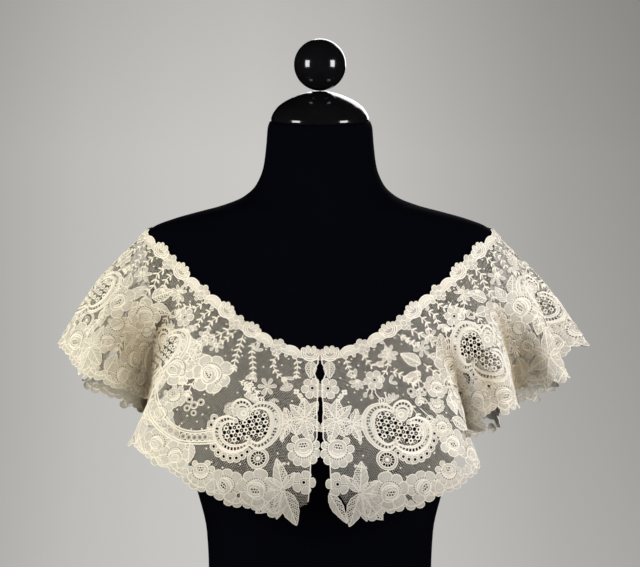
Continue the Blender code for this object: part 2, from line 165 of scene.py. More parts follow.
# Motif work.
PATCH_RINGS = (0.0, 0.14, 0.46)
PATCH_RISE = (-0.35, 0.6, 0.95, 1.0)
THREAD = 1.1  # width of an outline thread
THREAD_RISE = 0.65
LOW, MIDDLE, HIGH = 0.35, 0.6, 0.85  # heights of the layers above the net
FLAT_BOW = np.array([[0, 0.2, 0.8, 1.0], [-0.35, 0.8, 0.8, -0.35]])  # shares across, and heights
ROUND_BOW = np.array([[0, 0.5, 1.0], [0, 1.0, 0]])
PINHOLE_PITCH = 2.5
PINHOLE_RADIUS = 0.80
SLOT_PITCH = 3.5
LINE_LIFT = 0.25  # of a laid line's underside above the net
NO_TRIANGLES = np.zeros((0, 3), int)

# The room, in metres where not about a mesh.
CAMERA_AT = (0.0, -3.0, 0.4894)
LENS = 156.25
LIT_PLACE = Vector((0, 0, 0.45))
ROOM_RADIUS = 8000
ROOM_SIDES = 96
# painted light: greys of the glowing backdrop, as the studio light falls across it
ROOM_STOPS = [(0.0, 173), (0.13, 188), (0.27, 197), (0.40, 201), (0.56, 193), (0.70, 178), (0.85, 160),
              (1.0, 146)]  # from left to right of the view, greys on a screen's scale of 255
ROOM_SPAN = 1.27  # metres each way across the backdrop that the view takes in
BACKDROP = [(0.02, -1500), (0.5, -1500), (0.86, -1100), (1.0, 0), (1.0, 3000), (0.92, 6500), (0.6, 8200),
            (0.02, 8600)]  # share of the room's radius, and height
FLOOR_RADIUS = 1500
FLOOR_LEVEL = -0.6

# Piece of a motif: kind is toile, gauze, heart, pinned, slotted or thread. inset is the distance in from the outline.
Piece = namedtuple("Piece", "kind points quads triangles tone weave inset")
# A motif: its pieces, its radius for keeping dots clear, and discs (a, b, radius) where the net is cut away.
Motif = namedtuple("Motif", "pieces radius openings")
Place = namedtuple("Place", "motif along down size turn flip bright", defaults=(1.0, 0.0, 1, 1.0))
# A leafy stem along places on the lace: how long its leaves are and how far apart their pairs.
Vine = namedtuple("Vine", "path leaf every", defaults=(5.4, 6.4))


# Curves and grids


def smooth_step(value):
    value = np.clip(value, 0.0, 1.0)
    return value * value * (3 - 2 * value)


def travelled(path):
    """How far along a path each of its points lies."""
    return np.concatenate([[0], np.cumsum(np.linalg.norm(np.diff(path, axis=0), axis=1))])


def rising_curve(at, values, places):
    """Cubic curve through rows, each slope the harmonic mean of its neighbours' and flat at a turn."""
    step = np.diff(at)
    slope = np.diff(values) / step
    both = slope[:-1] * slope[1:]
    inner = np.where(both > 0, 2 * both / np.where(both > 0, slope[:-1] + slope[1:], 1), 0)
    tangent = np.concatenate([[slope[0]], inner, [slope[-1]]])
    k = np.clip(np.searchsorted(at, places, side="right") - 1, 0, len(step) - 1)
    t = np.clip((places - at[k]) / step[k], 0, 1)
    return (values[k] * (1 + 2 * t) * (1 - t) ** 2 + tangent[k] * step[k] * t * (1 - t) ** 2
            + values[k + 1] * t**2 * (3 - 2 * t) + tangent[k + 1] * step[k] * t**2 * (t - 1))


def finer_rows(rows, times):
    """Points or grid rows made finer: between two rows, the cubic whose slope at a row is half the way
    between that row's neighbours."""
    padded = np.concatenate([2 * rows[:1] - rows[1:2], rows, 2 * rows[-1:] - rows[-2:-1]])
    share = (np.arange(times) / times).reshape(1, times, *[1] * (rows.ndim - 1))
    a, b, c, d = (padded[k : len(padded) - 3 + k, None] for k in range(4))
    fine = 0.5 * (2 * b + (c - a) * share + (2 * a - 5 * b + 4 * c - d) * share**2
                  + (3 * b - a - 3 * c + d) * share**3)
    return np.concatenate([fine.reshape(-1, *rows.shape[1:]), rows[-1:]])


def curve_through(rows, count):
    """A smooth curve through points, read at count places an equal way apart."""
    fine = finer_rows(np.asarray(rows, float), CURVE_STEPS)
    way = travelled(fine)
    at = np.linspace(0, way[-1], count)
    return np.stack([np.interp(at, way, values) for values in fine.T], axis=1)


def soften(grid):
    """Averages a grid of vectors with its neighbours, edges kept."""
    padded = np.pad(grid, ((1, 1), (1, 1), (0, 0)), mode="edge")
    return (padded[1:-1, 1:-1] * 4 + padded[:-2, 1:-1] + padded[2:, 1:-1]
            + padded[1:-1, :-2] + padded[1:-1, 2:]) / 8


def across_grid(grid):
    """The way square to a grid of points at each of them: the cross product of its two slopes."""
    normals = np.cross(np.gradient(grid, axis=1), np.gradient(grid, axis=0))
    return normals / np.linalg.norm(normals, axis=2)[..., None]


def grid_faces(columns, rows, closed=False):
    """Four-cornered faces of a grid whose points run down each column in turn."""
    i = np.arange(columns if closed else columns - 1)[:, None]
    j = np.arange(rows - 1)[None]
    here, there = i * rows + j, (i + 1) % columns * rows + j
    return np.stack([here, here + 1, there + 1, there], axis=-1).reshape(-1, 4)


def turned_about(radius, height, sides):
    """Columns of points round an axis: at each side the profile of radius and height."""
    turn = np.arange(sides)[:, None] * 2 * math.pi / sides
    height = np.broadcast_to(height, (sides, len(height)))
    return np.stack([np.cos(turn) * radius, np.sin(turn) * radius, height], axis=-1)


# Form


def form_rows(heights):
    """The form's half width, front, back and power at any heights."""
    return [rising_curve(FORM_SECTIONS[:, 0], values, heights) for values in FORM_SECTIONS.T[1:]]


def bust(x, height):
    """How far the bust stands out: two round bell shapes, one on each side."""
    side = np.exp(-(((np.abs(x) - BUST_APEX[0]) / BUST_SPREAD[0]) ** 2))
    return BUST_REACH * side * np.exp(-(((height - BUST_APEX[1]) / BUST_SPREAD[1]) ** 2))


def form_reach(points):
    """How far out points are as a share of the form's own edge that way: the rounded oval's sum to the
    power one over its power, which is 1 on the surface."""
    x, y, z = np.moveaxis(points, -1, 0)
    half, front, back, power = form_rows(z)
    depth = np.where(y < 0, front, back)
    y = np.where(y < 0, np.minimum(y + bust(x, z), 0), y)
    return ((np.abs(x) / half) ** power + (np.abs(y) / depth) ** power) ** (1 / power)


def form_distance(points):
    """Distance of points from the form and the way out of it: reach less 1, over its slope."""
    steps = SLOPE_STEP * np.eye(3)
    slope = np.stack([form_reach(points + step) - form_reach(points - step) for step in steps], axis=-1)
    slope /= 2 * SLOPE_STEP
    size = np.linalg.norm(slope, axis=-1)
    return (form_reach(points) - 1) / size, slope / size[..., None]


def clear_of_form(points, both_ways=False):
    """Points moved out of the form until they clear it, or on to that distance from either side."""
    for _ in range(CLEAR_ROUNDS):
        distance, way = form_distance(points)
        short = LACE_CLEAR - distance
        points = points + way * (short if both_ways else np.maximum(short, 0))[..., None]
    return points


def dress_form(finish):
    """The form's surface: at each height a rounded oval, with the bust in front and a sloping top."""
    top = FORM_SECTIONS[-1, 0]
    heights = finer_rows(FORM_SECTIONS[:, :1], RINGS_PER_ROW)[:, 0]
    heights = np.sort(np.clip(heights, 0, top))
    half, front, back, power = (v[:, None] for v in form_rows(heights))
    turn = np.arange(FORM_SIDES)[None] * 2 * math.pi / FORM_SIDES
    across, deep = np.cos(turn), np.sin(turn)
    x = half * np.sign(across) * np.abs(across) ** (2 / power)
    y = np.where(deep < 0, front, back) * np.sign(deep) * np.abs(deep) ** (2 / power)
    y = y - np.where(deep < 0, bust(x, heights[:, None]), 0)
    slope = smooth_step((heights - TILT_FROM) / (top - TILT_FROM))[:, None]
    z = heights[:, None] + y * math.tan(NECK_TILT) * slope
    rings = np.stack([x, y, z], axis=-1)
    return capped("jersey_form", rings.transpose(1, 0, 2), [rings[0].mean(0), rings[-1].mean(0)], finish)


def capped(name, columns, ends, finish):
    """A closed piece from columns of points round an axis and an end point for a fan at its foot and top."""
    sides, rows = columns.shape[:2]
    first = np.arange(sides) * rows
    following = np.roll(first, -1)
    foot = np.stack([following, first, np.full(sides, sides * rows)], axis=1)
    top = np.stack([first, following, np.full(sides, sides * rows + 1)], axis=1) + [rows - 1, rows - 1, 0]
    return add_mesh(name, np.concatenate([columns.reshape(-1, 3), ends]),
                    grid_faces(sides, rows, closed=True)[:, ::-1], np.concatenate([foot, top]), finish)


def turned(name, profile, finish):
    """A turned piece on the neck's tilted axis: the profile's smooth curve carried round the axis."""
    columns = turned_about(*profile[1:-1].T, TURNED_SIDES)
    ends = np.array([[0, 0, profile[0, 1]], [0, 0, profile[-1, 1]]])
    cos, sin = math.cos(NECK_TILT), math.sin(NECK_TILT)
    tilt = np.array([[1, 0, 0], [0, cos, sin], [0, -sin, cos]])
    foot = [0, 0, FORM_SECTIONS[-1, 0]]
    return capped(name, columns @ tilt + foot, ends @ tilt + foot, finish)


def cap_and_ball(finish):
    """The neck's cap, and the ball above it on its stud."""
    body = curve_through(CAP_PROFILE[1:-1], 64)
    cap = turned("lacquer_cap", np.concatenate([CAP_PROFILE[:1], body, CAP_PROFILE[-1:]]), finish)
    angle = np.linspace(math.asin(STUD_RADIUS / FINIAL_RADIUS), math.pi - 0.03, 56)
    ball = np.stack([FINIAL_RADIUS * np.sin(angle), BALL_CENTRE - FINIAL_RADIUS * np.cos(angle)], axis=1)
    stud, top = [[0, STUD_FOOT], [STUD_RADIUS, STUD_FOOT]], [[0, BALL_CENTRE + FINIAL_RADIUS]]
    return cap, turned("lacquer_ball", np.concatenate([stud, ball, top]), finish)


# Cloth


def flat_grid(columns, rows):
    """Places along and down of a grid of the flat cut."""
    return np.linspace(0, NECK_LENGTH, columns)[:, None], np.linspace(HIGHEST, DEEPEST, rows)[None] * DEPTH


class Cloth:
    """One half of the collar's surface, read by (along, down) in millimetres of the flat cut."""

    def __init__(self, side, hem_rows):
        self.side = side
        neck = clear_of_form(curve_through(NECK_EDGE, COARSE_COLUMNS), both_ways=True)
        neck[[0, -1], 0] = 0
        grid = self.hung(neck, curve_through(hem_rows, COARSE_COLUMNS))
        grid = finer_rows(finer_rows(grid, FINER).transpose(1, 0, 2), FINER).transpose(1, 0, 2)
        grid = clear_of_form(self.creased(grid))
        above = np.linspace(HIGHEST, DEEPEST, grid.shape[1]) < 0
        grid[:, above] = clear_of_form(grid[:, above], both_ways=True)
        grid[..., 0] = np.maximum(grid[..., 0], SEAM / 2)
        self.points = grid
        self.normals = across_grid(grid)
        self.measure()
        self.painted_fold_shade = self.painted_fold_shading()

    def hung(self, neck, hem):
        """Straight lines from neck to hem, bulged outward, with folds that grow down the line."""
        calm = hem.copy()
        for _ in range(CALM_ROUNDS):
            calm[1:-1] = (calm[:-2] + 2 * calm[1:-1] + calm[2:]) / 4
        down = np.linspace(HIGHEST, DEEPEST, COARSE_ROWS)[None, :, None]
        fold = np.maximum(down, 0) ** FOLD_START
        grid = neck[:, None] + (calm - neck)[:, None] * down + (hem - calm)[:, None] * fold
        out = calm - neck
        out[:, :2] += neck[:, :2] * FAN
        out /= np.linalg.norm(out[:, :2], axis=1)[:, None]
        out[:, 2] = BULGE_RISE
        grid = grid + out[:, None] * np.sin(np.pi * np.clip(down, 0, 1)) * BULGE
        for _ in range(SETTLE_ROUNDS):
            shift = clear_of_form(grid) - grid
            for _ in range(SETTLE_ROUNDS):
                shift = soften(shift)
            grid = grid + shift
        return clear_of_form(grid)

    def creased(self, grid):
        """The surface moved along its normals by each crease: a bell across its line, faded at the top."""
        along, down = flat_grid(*grid.shape[:2])
        sunk = np.zeros(grid.shape[:2])
        for start, top, end, foot, width, depth in CREASES:
            share = (down - top) / (foot - top)
            middle = start + (end - start) * share
            sunk += depth * np.exp(-(((along - middle) / width) ** 2)) * smooth_step(share * CREASE_FADE)
        return grid - across_grid(grid) * sunk[..., None]

    def measure(self):
        """How wide and how deep a millimetre of the flat cut lies here, and how far down leans along."""
        columns, rows = self.points.shape[:2]
        along = np.gradient(self.points, axis=0) * (columns - 1) / NECK_LENGTH
        down = np.gradient(self.points, axis=1) * (rows - 1) / ((DEEPEST - HIGHEST) * DEPTH)
        wide = np.linalg.norm(along, axis=2)
        lean = (along * down).sum(axis=2) / wide
        deep = np.sqrt(np.maximum((down**2).sum(axis=2) - lean**2, 0.04))
        sizes = np.stack([wide, deep, lean], axis=-1)
        for _ in range(MEASURE_ROUNDS):
            sizes = soften(sizes)
        self.wide, self.deep, self.lean = np.moveaxis(sizes, -1, 0)

    def painted_fold_shading(self):
        """The painted shade of the folds: how far the surface lies behind its own wide average along the
        cloth, 1 at FULL_SHADE_DEPTH mm, or a bell about each pool of painted shade where that is more."""
        reach, average = FOLD_SHADE_REACH, self.points
        for _ in range(2):
            total = np.cumsum(np.pad(average, ((reach + 1, reach), (0, 0), (0, 0)), mode="edge"), axis=0)
            average = (total[2 * reach + 1 :] - total[: -2 * reach - 1]) / (2 * reach + 1)
        shade = smooth_step(((average - self.points) * self.normals).sum(axis=2) / FULL_SHADE_DEPTH)
        along, down = flat_grid(*shade.shape)
        for side, s, d, width, height, amount in PAINTED_SHADE_POOLS:
            if side == self.side:
                away = ((along - s) / width) ** 2 + ((down - d) / height) ** 2
                shade = np.maximum(shade, amount * np.exp(-away))
        return shade

    def read(self, values, along, down):
        """Values of the surface's grid at (along, down), straight between its points."""
        columns, rows = values.shape[:2]
        i = np.clip(along / NECK_LENGTH, 0, 1) * (columns - 1)
        j = np.clip((down / DEPTH - HIGHEST) / (DEEPEST - HIGHEST), 0, 1) * (rows - 1)
        i0 = np.minimum(i.astype(int), columns - 2)
        j0 = np.minimum(j.astype(int), rows - 2)
        a, b = i - i0, j - j0
        if values.ndim == 3:
            a, b = a[..., None], b[..., None]
        return (values[i0, j0] * (1 - a) * (1 - b) + values[i0 + 1, j0] * a * (1 - b)
                + values[i0, j0 + 1] * (1 - a) * b + values[i0 + 1, j0 + 1] * a * b)

    def place(self, along, down, lift):
        """Points at (along, down), lifted off the net; the left half is the mirror of this."""
        points = self.read(self.points, along, down)
        points = points + self.read(self.normals, along, down) * np.asarray(lift)[..., None]
        points[..., 0] = np.maximum(points[..., 0], SEAM / 2)
        return points * [self.side, 1, 1]

    def flat_place(self, at, a, b):
        """(along, down) of offsets a and b in real millimetres from a place on the lace."""
        along, down = np.float64(at[0]), np.float64(at[1])
        low = b / self.read(self.deep, along, down)
        rows = down + low
        lean = self.read(self.lean, along, down)
        return along + (a - lean * low) / self.read(self.wide, np.full_like(rows, along), rows), rows

    def faces(self, quads):
        """Faces of this half: those of the right one, turned over on the left."""
        return quads if self.side > 0 else quads[:, ::-1]


# Shapes of motifs


def petal_outline(length, width, count=14, waves=0, wave=0.0):
    """A petal from its base at the origin along +b: a circle, narrowed towards the base."""
    turn = np.arange(count) * 2 * math.pi / count
    out = (1 - np.cos(turn)) / 2
    ripple = 1 + wave * np.cos(waves * (turn - math.pi)) * out
    a = width * 0.66 * np.sin(turn) * (0.42 + 0.58 * out) * ripple
    return np.stack([a, length * out * (1 + (ripple - 1) * out)], axis=1)


def circle(radius, count, middle=(0, 0), waves=0, wave=0.0):
    """A circle, with waves round it if asked."""
    turn = np.arange(count) * 2 * math.pi / count
    size = radius * (1 + wave * np.cos(waves * turn))
    return np.stack([middle[0] + size * np.cos(turn), middle[1] + size * np.sin(turn)], axis=1)


def arc(low, high, count, across, down, middle=(0, 0)):
    """A path along an oval, from one turn to another in degrees."""
    turn = np.radians(np.linspace(low, high, count))
    return np.stack([middle[0] + across * np.cos(turn), middle[1] + down * np.sin(turn)], axis=1)


def leaf_edge(length, width, teeth, count):
    """One side of a pointed leaf from base to tip: a rounded bow, with teeth that point to the tip."""
    share = np.linspace(0, 1, count)
    bow = np.sin(np.pi * share**0.82) ** 0.85 * (1 - 0.18 * share)
    saw = (share * teeth) % 1.0
    tooth = 1 + 0.16 * (1 - saw) * np.clip(share * 6, 0, 1) * np.clip((1 - share) * 8, 0, 1)
    return np.stack([width / 2 * bow * tooth, length * share], axis=1)


def inward(outline, amount):
    """An outline drawn in towards its middle."""
    return outline + (outline.mean(0) - outline) * amount


def turned_place(a, b, turn):
    """A place turned about the origin from +a towards +b by degrees."""
    cos, sin = math.cos(math.radians(turn)), math.sin(math.radians(turn))
    return a * cos - b * sin, a * sin + b * cos


def patch(outline, lift, puff=0.35, kind="toile", tone=1.0, heart=None, rings=PATCH_RINGS, rise=PATCH_RISE):
    """A filled shape: rings from the outline in to its heart, with the edge tucked down to the net."""
    outline = np.asarray(outline, float)
    heart = outline.mean(0) if heart is None else np.asarray(heart, float)
    share = np.array(rings)
    flat = outline[:, None] + (heart - outline)[:, None] * share[:, None]
    height = lift + puff * np.array(rise)
    points = np.concatenate([flat, np.broadcast_to(height[:-1, None], (*flat.shape[:2], 1))], axis=2)
    points = np.concatenate([points.reshape(-1, 3), [[*heart, height[-1]]]])
    count, rows = len(outline), len(rings)
    last = np.arange(count) * rows + rows - 1
    triangles = np.stack([last, np.full(count, len(points) - 1), np.roll(last, -1)], axis=1)
    reach = np.linalg.norm(outline - heart, axis=1)[:, None] * share
    return Piece(kind, points, grid_faces(count, rows, closed=True), triangles, np.full(len(points), tone),
                 points[:, :2] - heart, np.append(reach.ravel(), reach.max()))


def knob(outline, lift=LOW, puff=0.6, tone=1.06, ring=0.4, edge=-0.5):
    """A small raised spot of thread."""
    return patch(outline, lift, puff, "thread", tone, rings=(0.0, ring), rise=(edge, 0.8, 1.0))


def strip(outer, inner, lift, puff, kind="toile", tone=1.0, bow=ROUND_BOW, closed=False, weave=None):
    """Work between two paths of equal count, arched across by a bow. Its weave is measured on the flat,
    or as given: along it and across it."""
    share, rise = bow
    flat = outer[:, None] + (inner - outer)[:, None] * share[:, None]
    height = np.broadcast_to(lift + puff * rise, flat.shape[:2])[..., None]
    width = np.linalg.norm(inner - outer, axis=1)[:, None]
    return Piece(kind, np.concatenate([flat, height], axis=2).reshape(-1, 3),
                 grid_faces(len(outer), len(share), closed), NO_TRIANGLES, np.full(height.size, tone),
                 np.reshape(flat if weave is None else weave, (-1, 2)),
                 (width * np.minimum(share, 1 - share)).ravel())


def band(outer, inner, lift, puff=0.35, kind="toile", tone=1.0):
    """A ring between two outlines of equal count, arched across."""
    return strip(outer, inner, lift, puff, kind, tone, FLAT_BOW, closed=True)


def thread(path, lift, width=THREAD, rise=THREAD_RISE, closed=False, cord=False, tone=1.0):
    """A thread along a path: a low ridge on the work under it, or a four-sided cord."""
    path = np.asarray(path, float)
    way = np.roll(path, -1, axis=0) - np.roll(path, 1, axis=0) if closed else np.gradient(path, axis=0)
    way = way / np.maximum(np.linalg.norm(way, axis=1), 1e-6)[:, None]
    side = np.stack([-way[:, 1], way[:, 0]], axis=1) * width / 2
    section = ((-1, rise / 2), (0, rise), (1, rise / 2), (0, 0)) if cord else ((-1, 0), (0, rise), (1, 0))
    points = np.stack([np.column_stack([path + side * out, np.full(len(path), lift + up)])
                       for out, up in section], axis=1)
    count = len(section)
    quads = grid_faces(len(path), count, closed)
    if cord:
        here = np.arange(len(path) if closed else len(path) - 1) * count
        there = (here + count) % (len(path) * count)
        quads = np.concatenate([quads, np.stack([here + 3, here, there, there + 3], axis=1)])
    weave = np.stack([np.repeat(travelled(path), count), np.tile(np.arange(count), len(path))], axis=1)
    points = points.reshape(-1, 3)
    return Piece("thread", points, quads, NO_TRIANGLES, np.full(len(points), tone), weave,
                 np.zeros(len(points)))


def moved(pieces, a=0.0, b=0.0, turn=0.0, size=1.0, flip=1):
    """Pieces sized, mirrored, turned from +a towards +b by degrees, then moved."""
    made = []
    for piece in pieces:
        x, y = turned_place(piece.points[:, 0] * size * flip, piece.points[:, 1] * size, turn)
        quads, triangles = (faces[:, ::flip] for faces in (piece.quads, piece.triangles))
        made.append(piece._replace(points=np.stack([x + a, y + b, piece.points[:, 2]], axis=1), quads=quads,
                                   triangles=triangles, weave=piece.weave * size, inset=piece.inset * size))
    return made


def outward(pieces, reach, turn):
    """Pieces drawn along +b, turned to point away from the origin and moved out that way."""
    return moved(pieces, *turned_place(reach, 0, turn), turn - 90)


def outlined(outline, lift, puff=0.35, kind="toile", tone=1.0, width=THREAD):
    """A patch with a thread laid along its edge."""
    return [patch(outline, lift, puff, kind, tone),
            thread(inward(outline, 0.05), lift - 0.05, width, closed=True, tone=1.06)]


def petal(length, width, lift, waves, wave, tone=1.0, veins=3, count=14):
    """An outlined petal, with short threads up from its base."""
    pieces = outlined(petal_outline(length, width, count, waves, wave), lift, 0.4, tone=tone)
    for spread in np.linspace(-0.42, 0.42, veins):
        path = np.array([[0, 0.22], [spread * 0.3, 0.45], [spread * 0.42, 0.66]]) * [width, length]
        pieces.append(thread(path, lift + 0.25, 0.5, 0.25, tone=1.04))
    return pieces


def open_heart(outline, lift, rim_lift, width, tone):
    """Work with small holes inside an outline, and a rim of thread."""
    return [patch(outline, lift, 0.1, "heart", rings=(0.0, 0.5), rise=(0, 0.8, 1.0)),
            thread(outline, rim_lift, width, 0.5, closed=True, tone=tone)]


def pinhole_arc(radius, low, high, middle, squash, width):
    """An open strip of close work with dark pinholes, bent round a middle from one turn to another."""
    outer, inner = (arc(low, high, 16, reach, squash * reach, middle) for reach in (radius, radius - width))
    way = travelled((outer + inner) / 2)
    weave = np.stack([np.repeat(way, 3), np.tile([-width / 2, 0, width / 2], len(way))], axis=1)
    return strip(outer, inner, MIDDLE + 0.5, 0.15, "pinned", weave=weave)


def rose_full():
    """A full rose seen from the front: round back petals, a bowl of folded petals, an open heart set
    aslant and to one side."""
    pieces = []
    rows = ((202, 1.0, 1.0), (256, 1.1, 1.24), (306, 1.0, 1.0), (352, 1.12, 1.16), (44, 1.02, 1.2),
            (98, 1.1, 1.1), (152, 1.04, 1.24))
    for k, (turn, size, wide) in enumerate(rows):
        shape = petal(11.8 * size, 12.6 * wide, LOW + 0.14 * (k % 2), 2, 0.07, 0.98, count=16)
        pieces += outward(shape, 6.6, turn)
    bowl = circle(9.8, 28, (1.0, 1.2), 3, 0.11)
    heart = np.stack(turned_place(*(circle(5.8, 28) * [1, 0.58]).T, -24), axis=1) + [2.0, 2.6]
    pieces.append(band(bowl, heart, HIGH, 0.5, tone=1.03))
    pieces.append(thread(inward(bowl, 0.02), HIGH, 1.2, 0.7, closed=True, tone=1.1))
    pieces.append(pinhole_arc(12.4, 168, 372, (0.6, 1.0), 0.98, 2.8))
    for low, high, size, width in ((190, 318, 8.0, 1.5), (208, 300, 5.6, 1.1), (20, 128, 8.2, 1.4),
                                   (318, 385, 8.4, 1.1)):
        fold = arc(low, high, 12, size, size * 0.9, (0.9, 1.4))
        pieces.append(thread(fold, HIGH + 0.4, width, 0.55, tone=1.1))
    pieces += open_heart(heart, HIGH + 0.3, HIGH + 0.35, 0.9, 1.06)
    return Motif(pieces, 18.0, [(2.0, 2.6, 3.8)])


def rose_cup():
    """A rose seen from the side: a bright cup with pinholes under its lip, over spread lower petals."""
    pieces = []
    for k, (turn, size) in enumerate(((28, 0.95), (58, 1.0), (90, 1.05), (122, 1.0), (152, 0.95), (190, 0.85),
                                      (-10, 0.85), (232, 0.75), (308, 0.75))):
        pieces += outward(petal(10.5 * size, 9.6 * size, LOW + 0.12 * (k % 2), 3, 0.05, 0.95), 7.6, turn)
    cup, hole = circle(1, 24) * [9.4, 9.2] + [0, -0.8], circle(1, 24) * [5.6, 3.2] + [0.5, -3.0]
    pieces.append(band(cup, hole, HIGH, 0.7, tone=1.07))
    pieces.append(thread(inward(cup, 0.04), HIGH, 1.2, 0.7, closed=True, tone=1.12))
    pieces.append(pinhole_arc(11.6, -8, 188, (0, -0.6), 1.0, 2.6))
    for low, high, wide, drop in ((12, 168, 7.4, 0.6), (20, 160, 5.4, 0.2)):
        fold = arc(low, high, 12, wide, wide * 0.82, (0, drop))
        pieces.append(thread(fold, HIGH + 0.5, 1.0, 0.5, tone=1.12))
    pieces += open_heart(circle(5.6, 14) * [1, 0.56] + [0.5, -3.0], HIGH + 0.2, HIGH + 0.2, 0.8, 1.05)
    return Motif(pieces, 18.0, [(0.5, -3.0, 3.2)])


def flower(petals=6):
    """A small round flower: outlined petals about an open ring."""
    pieces = []
    for k in range(petals):
        shape = petal(6.9, 7.2 * 6 / petals, LOW + 0.05 * (k % 2), 2, 0.05, veins=2, count=12)
        pieces += outward(shape, 3.0, 360 / petals * k + 12)
    pieces.append(band(circle(3.9, 12), circle(1.7, 12), HIGH, 0.3, tone=1.04))
    for radius, width, rise in ((1.8, 0.8, 0.5), (3.7, 0.7, 0.4)):
        pieces.append(thread(circle(radius, 12), HIGH, width, rise, closed=True, tone=1.06))
    return Motif(pieces, 10.0, [(0, 0, 2.0)])


def leaf_pieces(length, width, open_side=1, lift=LOW, teeth=5, veins=4):
    """A pointed leaf from the origin along +b: one half close work and the other open, veins across."""
    pieces = []
    rib = np.stack([np.zeros(4), np.linspace(length * 0.8, length * 0.2, 4)], axis=1)
    plain_edge = leaf_edge(length, width, 0.001, 40)
    for side in (-1, 1):
        edge = leaf_edge(length, width, teeth, 15) * [side, 1]
        outline = np.concatenate([edge, rib])[::side]
        pieces.append(patch(outline, lift, 0.3, "gauze" if side == open_side else "toile", 0.98,
                            (side * width * 0.2, length * 0.5)))
        pieces.append(thread(edge, lift, 0.9, 0.5, tone=1.06))
        for k in range(veins):
            start = 0.14 + 0.66 * k / veins
            a, b = plain_edge[min(39, int(40 * (start + 0.2)))]
            path = [[0, length * start], [side * a * 0.45, length * (start + 0.08)], [side * a * 0.86, b]]
            pieces.append(thread(path, lift + 0.2, 0.55, 0.3, tone=1.05))
    spine = np.stack([np.zeros(6), np.linspace(-0.5, length * 0.98, 6)], axis=1)
    pieces.append(thread(spine, lift + 0.25, 1.0, 0.5, tone=1.08))
    return pieces


def leaf(open_side=1):
    """A single leaf about its middle."""
    return Motif(moved(leaf_pieces(24, 14, open_side), 0, -12), 12, [])


def leaf_fan(rows, radius):
    """Leaves about one hub: rows of (turn, length, width, open side), turn 0 along +a."""
    pieces = []
    for k, (turn, length, width, open_side) in enumerate(rows):
        teeth, veins = 5 if length > 18 else 3, 4 if length > 14 else 2
        pieces += outward(leaf_pieces(length, width, open_side, LOW + 0.1 * (k % 3), teeth, veins), 1.5, turn)
    pieces += outlined(circle(2.2, 8), MIDDLE, 0.4)
    return Motif(pieces, radius, [])


def slim_leaf(length, width):
    """A small plain leaf from the origin along +b."""
    turn = np.arange(8) * 2 * math.pi / 8
    outline = np.stack([width / 2 * np.sin(turn), length * (1 - np.cos(turn)) / 2], axis=1)
    return [knob(outline, LOW + 0.1, 0.7, edge=-0.4)]


def sprig():
    """A bent stem from the origin along +b with small leaves in pairs and three at its tip."""
    length, bend, pairs, leaflet = 24.0, 6.0, 5, 5.6
    share = np.linspace(0, 1, 9)
    pieces = [thread(np.stack([bend * share**2, length * share], axis=1), LOW, 1.0, 0.6, tone=1.06)]
    for k in range(pairs):
        at = 0.12 + 0.78 * k / pairs
        lean = math.degrees(math.atan2(2 * bend * at, length))
        for side in (-1, 1):
            shape = slim_leaf(leaflet * (1 - 0.3 * at), 2.0)
            pieces += moved(shape, bend * at**2, length * at, -lean + side * 46)
    lean = math.degrees(math.atan2(2 * bend, length))
    for turn in (-38, 0, 38):
        pieces += moved(slim_leaf(leaflet, 2.2), bend, length * 0.97, -lean + turn)
    return Motif(pieces, length * 0.4, [])


def trefoil(size=8.0, leaves=3, spread=52.0):
    """Small pointed leaves from one point, opening along +b."""
    pieces = []
    for k in range(leaves):
        turn = (k - (leaves - 1) / 2) * spread
        pieces += moved(outlined(petal_outline(size, size * 0.34, 11), LOW + 0.1, 0.4, width=0.8), turn=turn)
    return Motif(pieces, size, [])


def bud():
    """A closed bud along +b on a cup of small leaves."""
    pieces = outlined(petal_outline(12, 9), MIDDLE, 0.6, tone=1.06)
    for turn in (-35, 35, 0):
        pieces += moved(outlined(petal_outline(7.2, 3.78, 10), LOW + 0.1, 0.3, width=0.7), 0, -1.2, turn)
    pieces.append(thread(arc(20, 160, 8, 2.7, 1.98, (0, 6.6)), HIGH + 0.1, 0.7, 0.4, tone=1.08))
    return Motif(moved(pieces, 0, -6), 6.6, [])


def floret():
    """Four tiny discs in a cross."""
    turns = (45, 135, 225, 315)
    return Motif([knob(circle(1.38, 7, turned_place(1.65, 0, turn))) for turn in turns], 3.0, [])


def dot():
    return Motif([knob(circle(1.0, 7), tone=1.0)], 1.2, [])


def star_flower():
    """A flower of six narrow petals that stand apart, about a round middle."""
    pieces = []
    for turn in range(20, 380, 60):
        pieces += outward(outlined(petal_outline(8.2, 3.9, 12), LOW + 0.1, 0.5, width=0.9), 2.2, turn)
    pieces += outlined(circle(2.6, 9), MIDDLE, 0.5, tone=1.06, width=0.8)
    return Motif(pieces, 10.0, [])


def ring_floret():
    """A small ring of close work with a thread round it and an open middle."""
    return Motif([band(circle(3.2, 10), circle(1.36, 10), LOW, 0.5, tone=1.03),
                  thread(circle(3.28, 10), LOW, 0.8, 0.6, closed=True, tone=1.06)], 4.0, [(0, 0, 1.2)])


def curl():
    """A thread that winds in from a stem to a small spiral."""
    turn = np.linspace(0, 3.4 * math.pi, 22)
    size = 4.5 * (1 - turn / (4.2 * math.pi))
    spiral = np.stack([size * np.cos(turn), size * np.sin(turn)], axis=1)
    path = np.concatenate([[[4.95, -7.2], [4.86, -3.6]], spiral])
    return Motif([thread(path, LOW, 1.2, 0.6, tone=1.05)], 4.5, [])


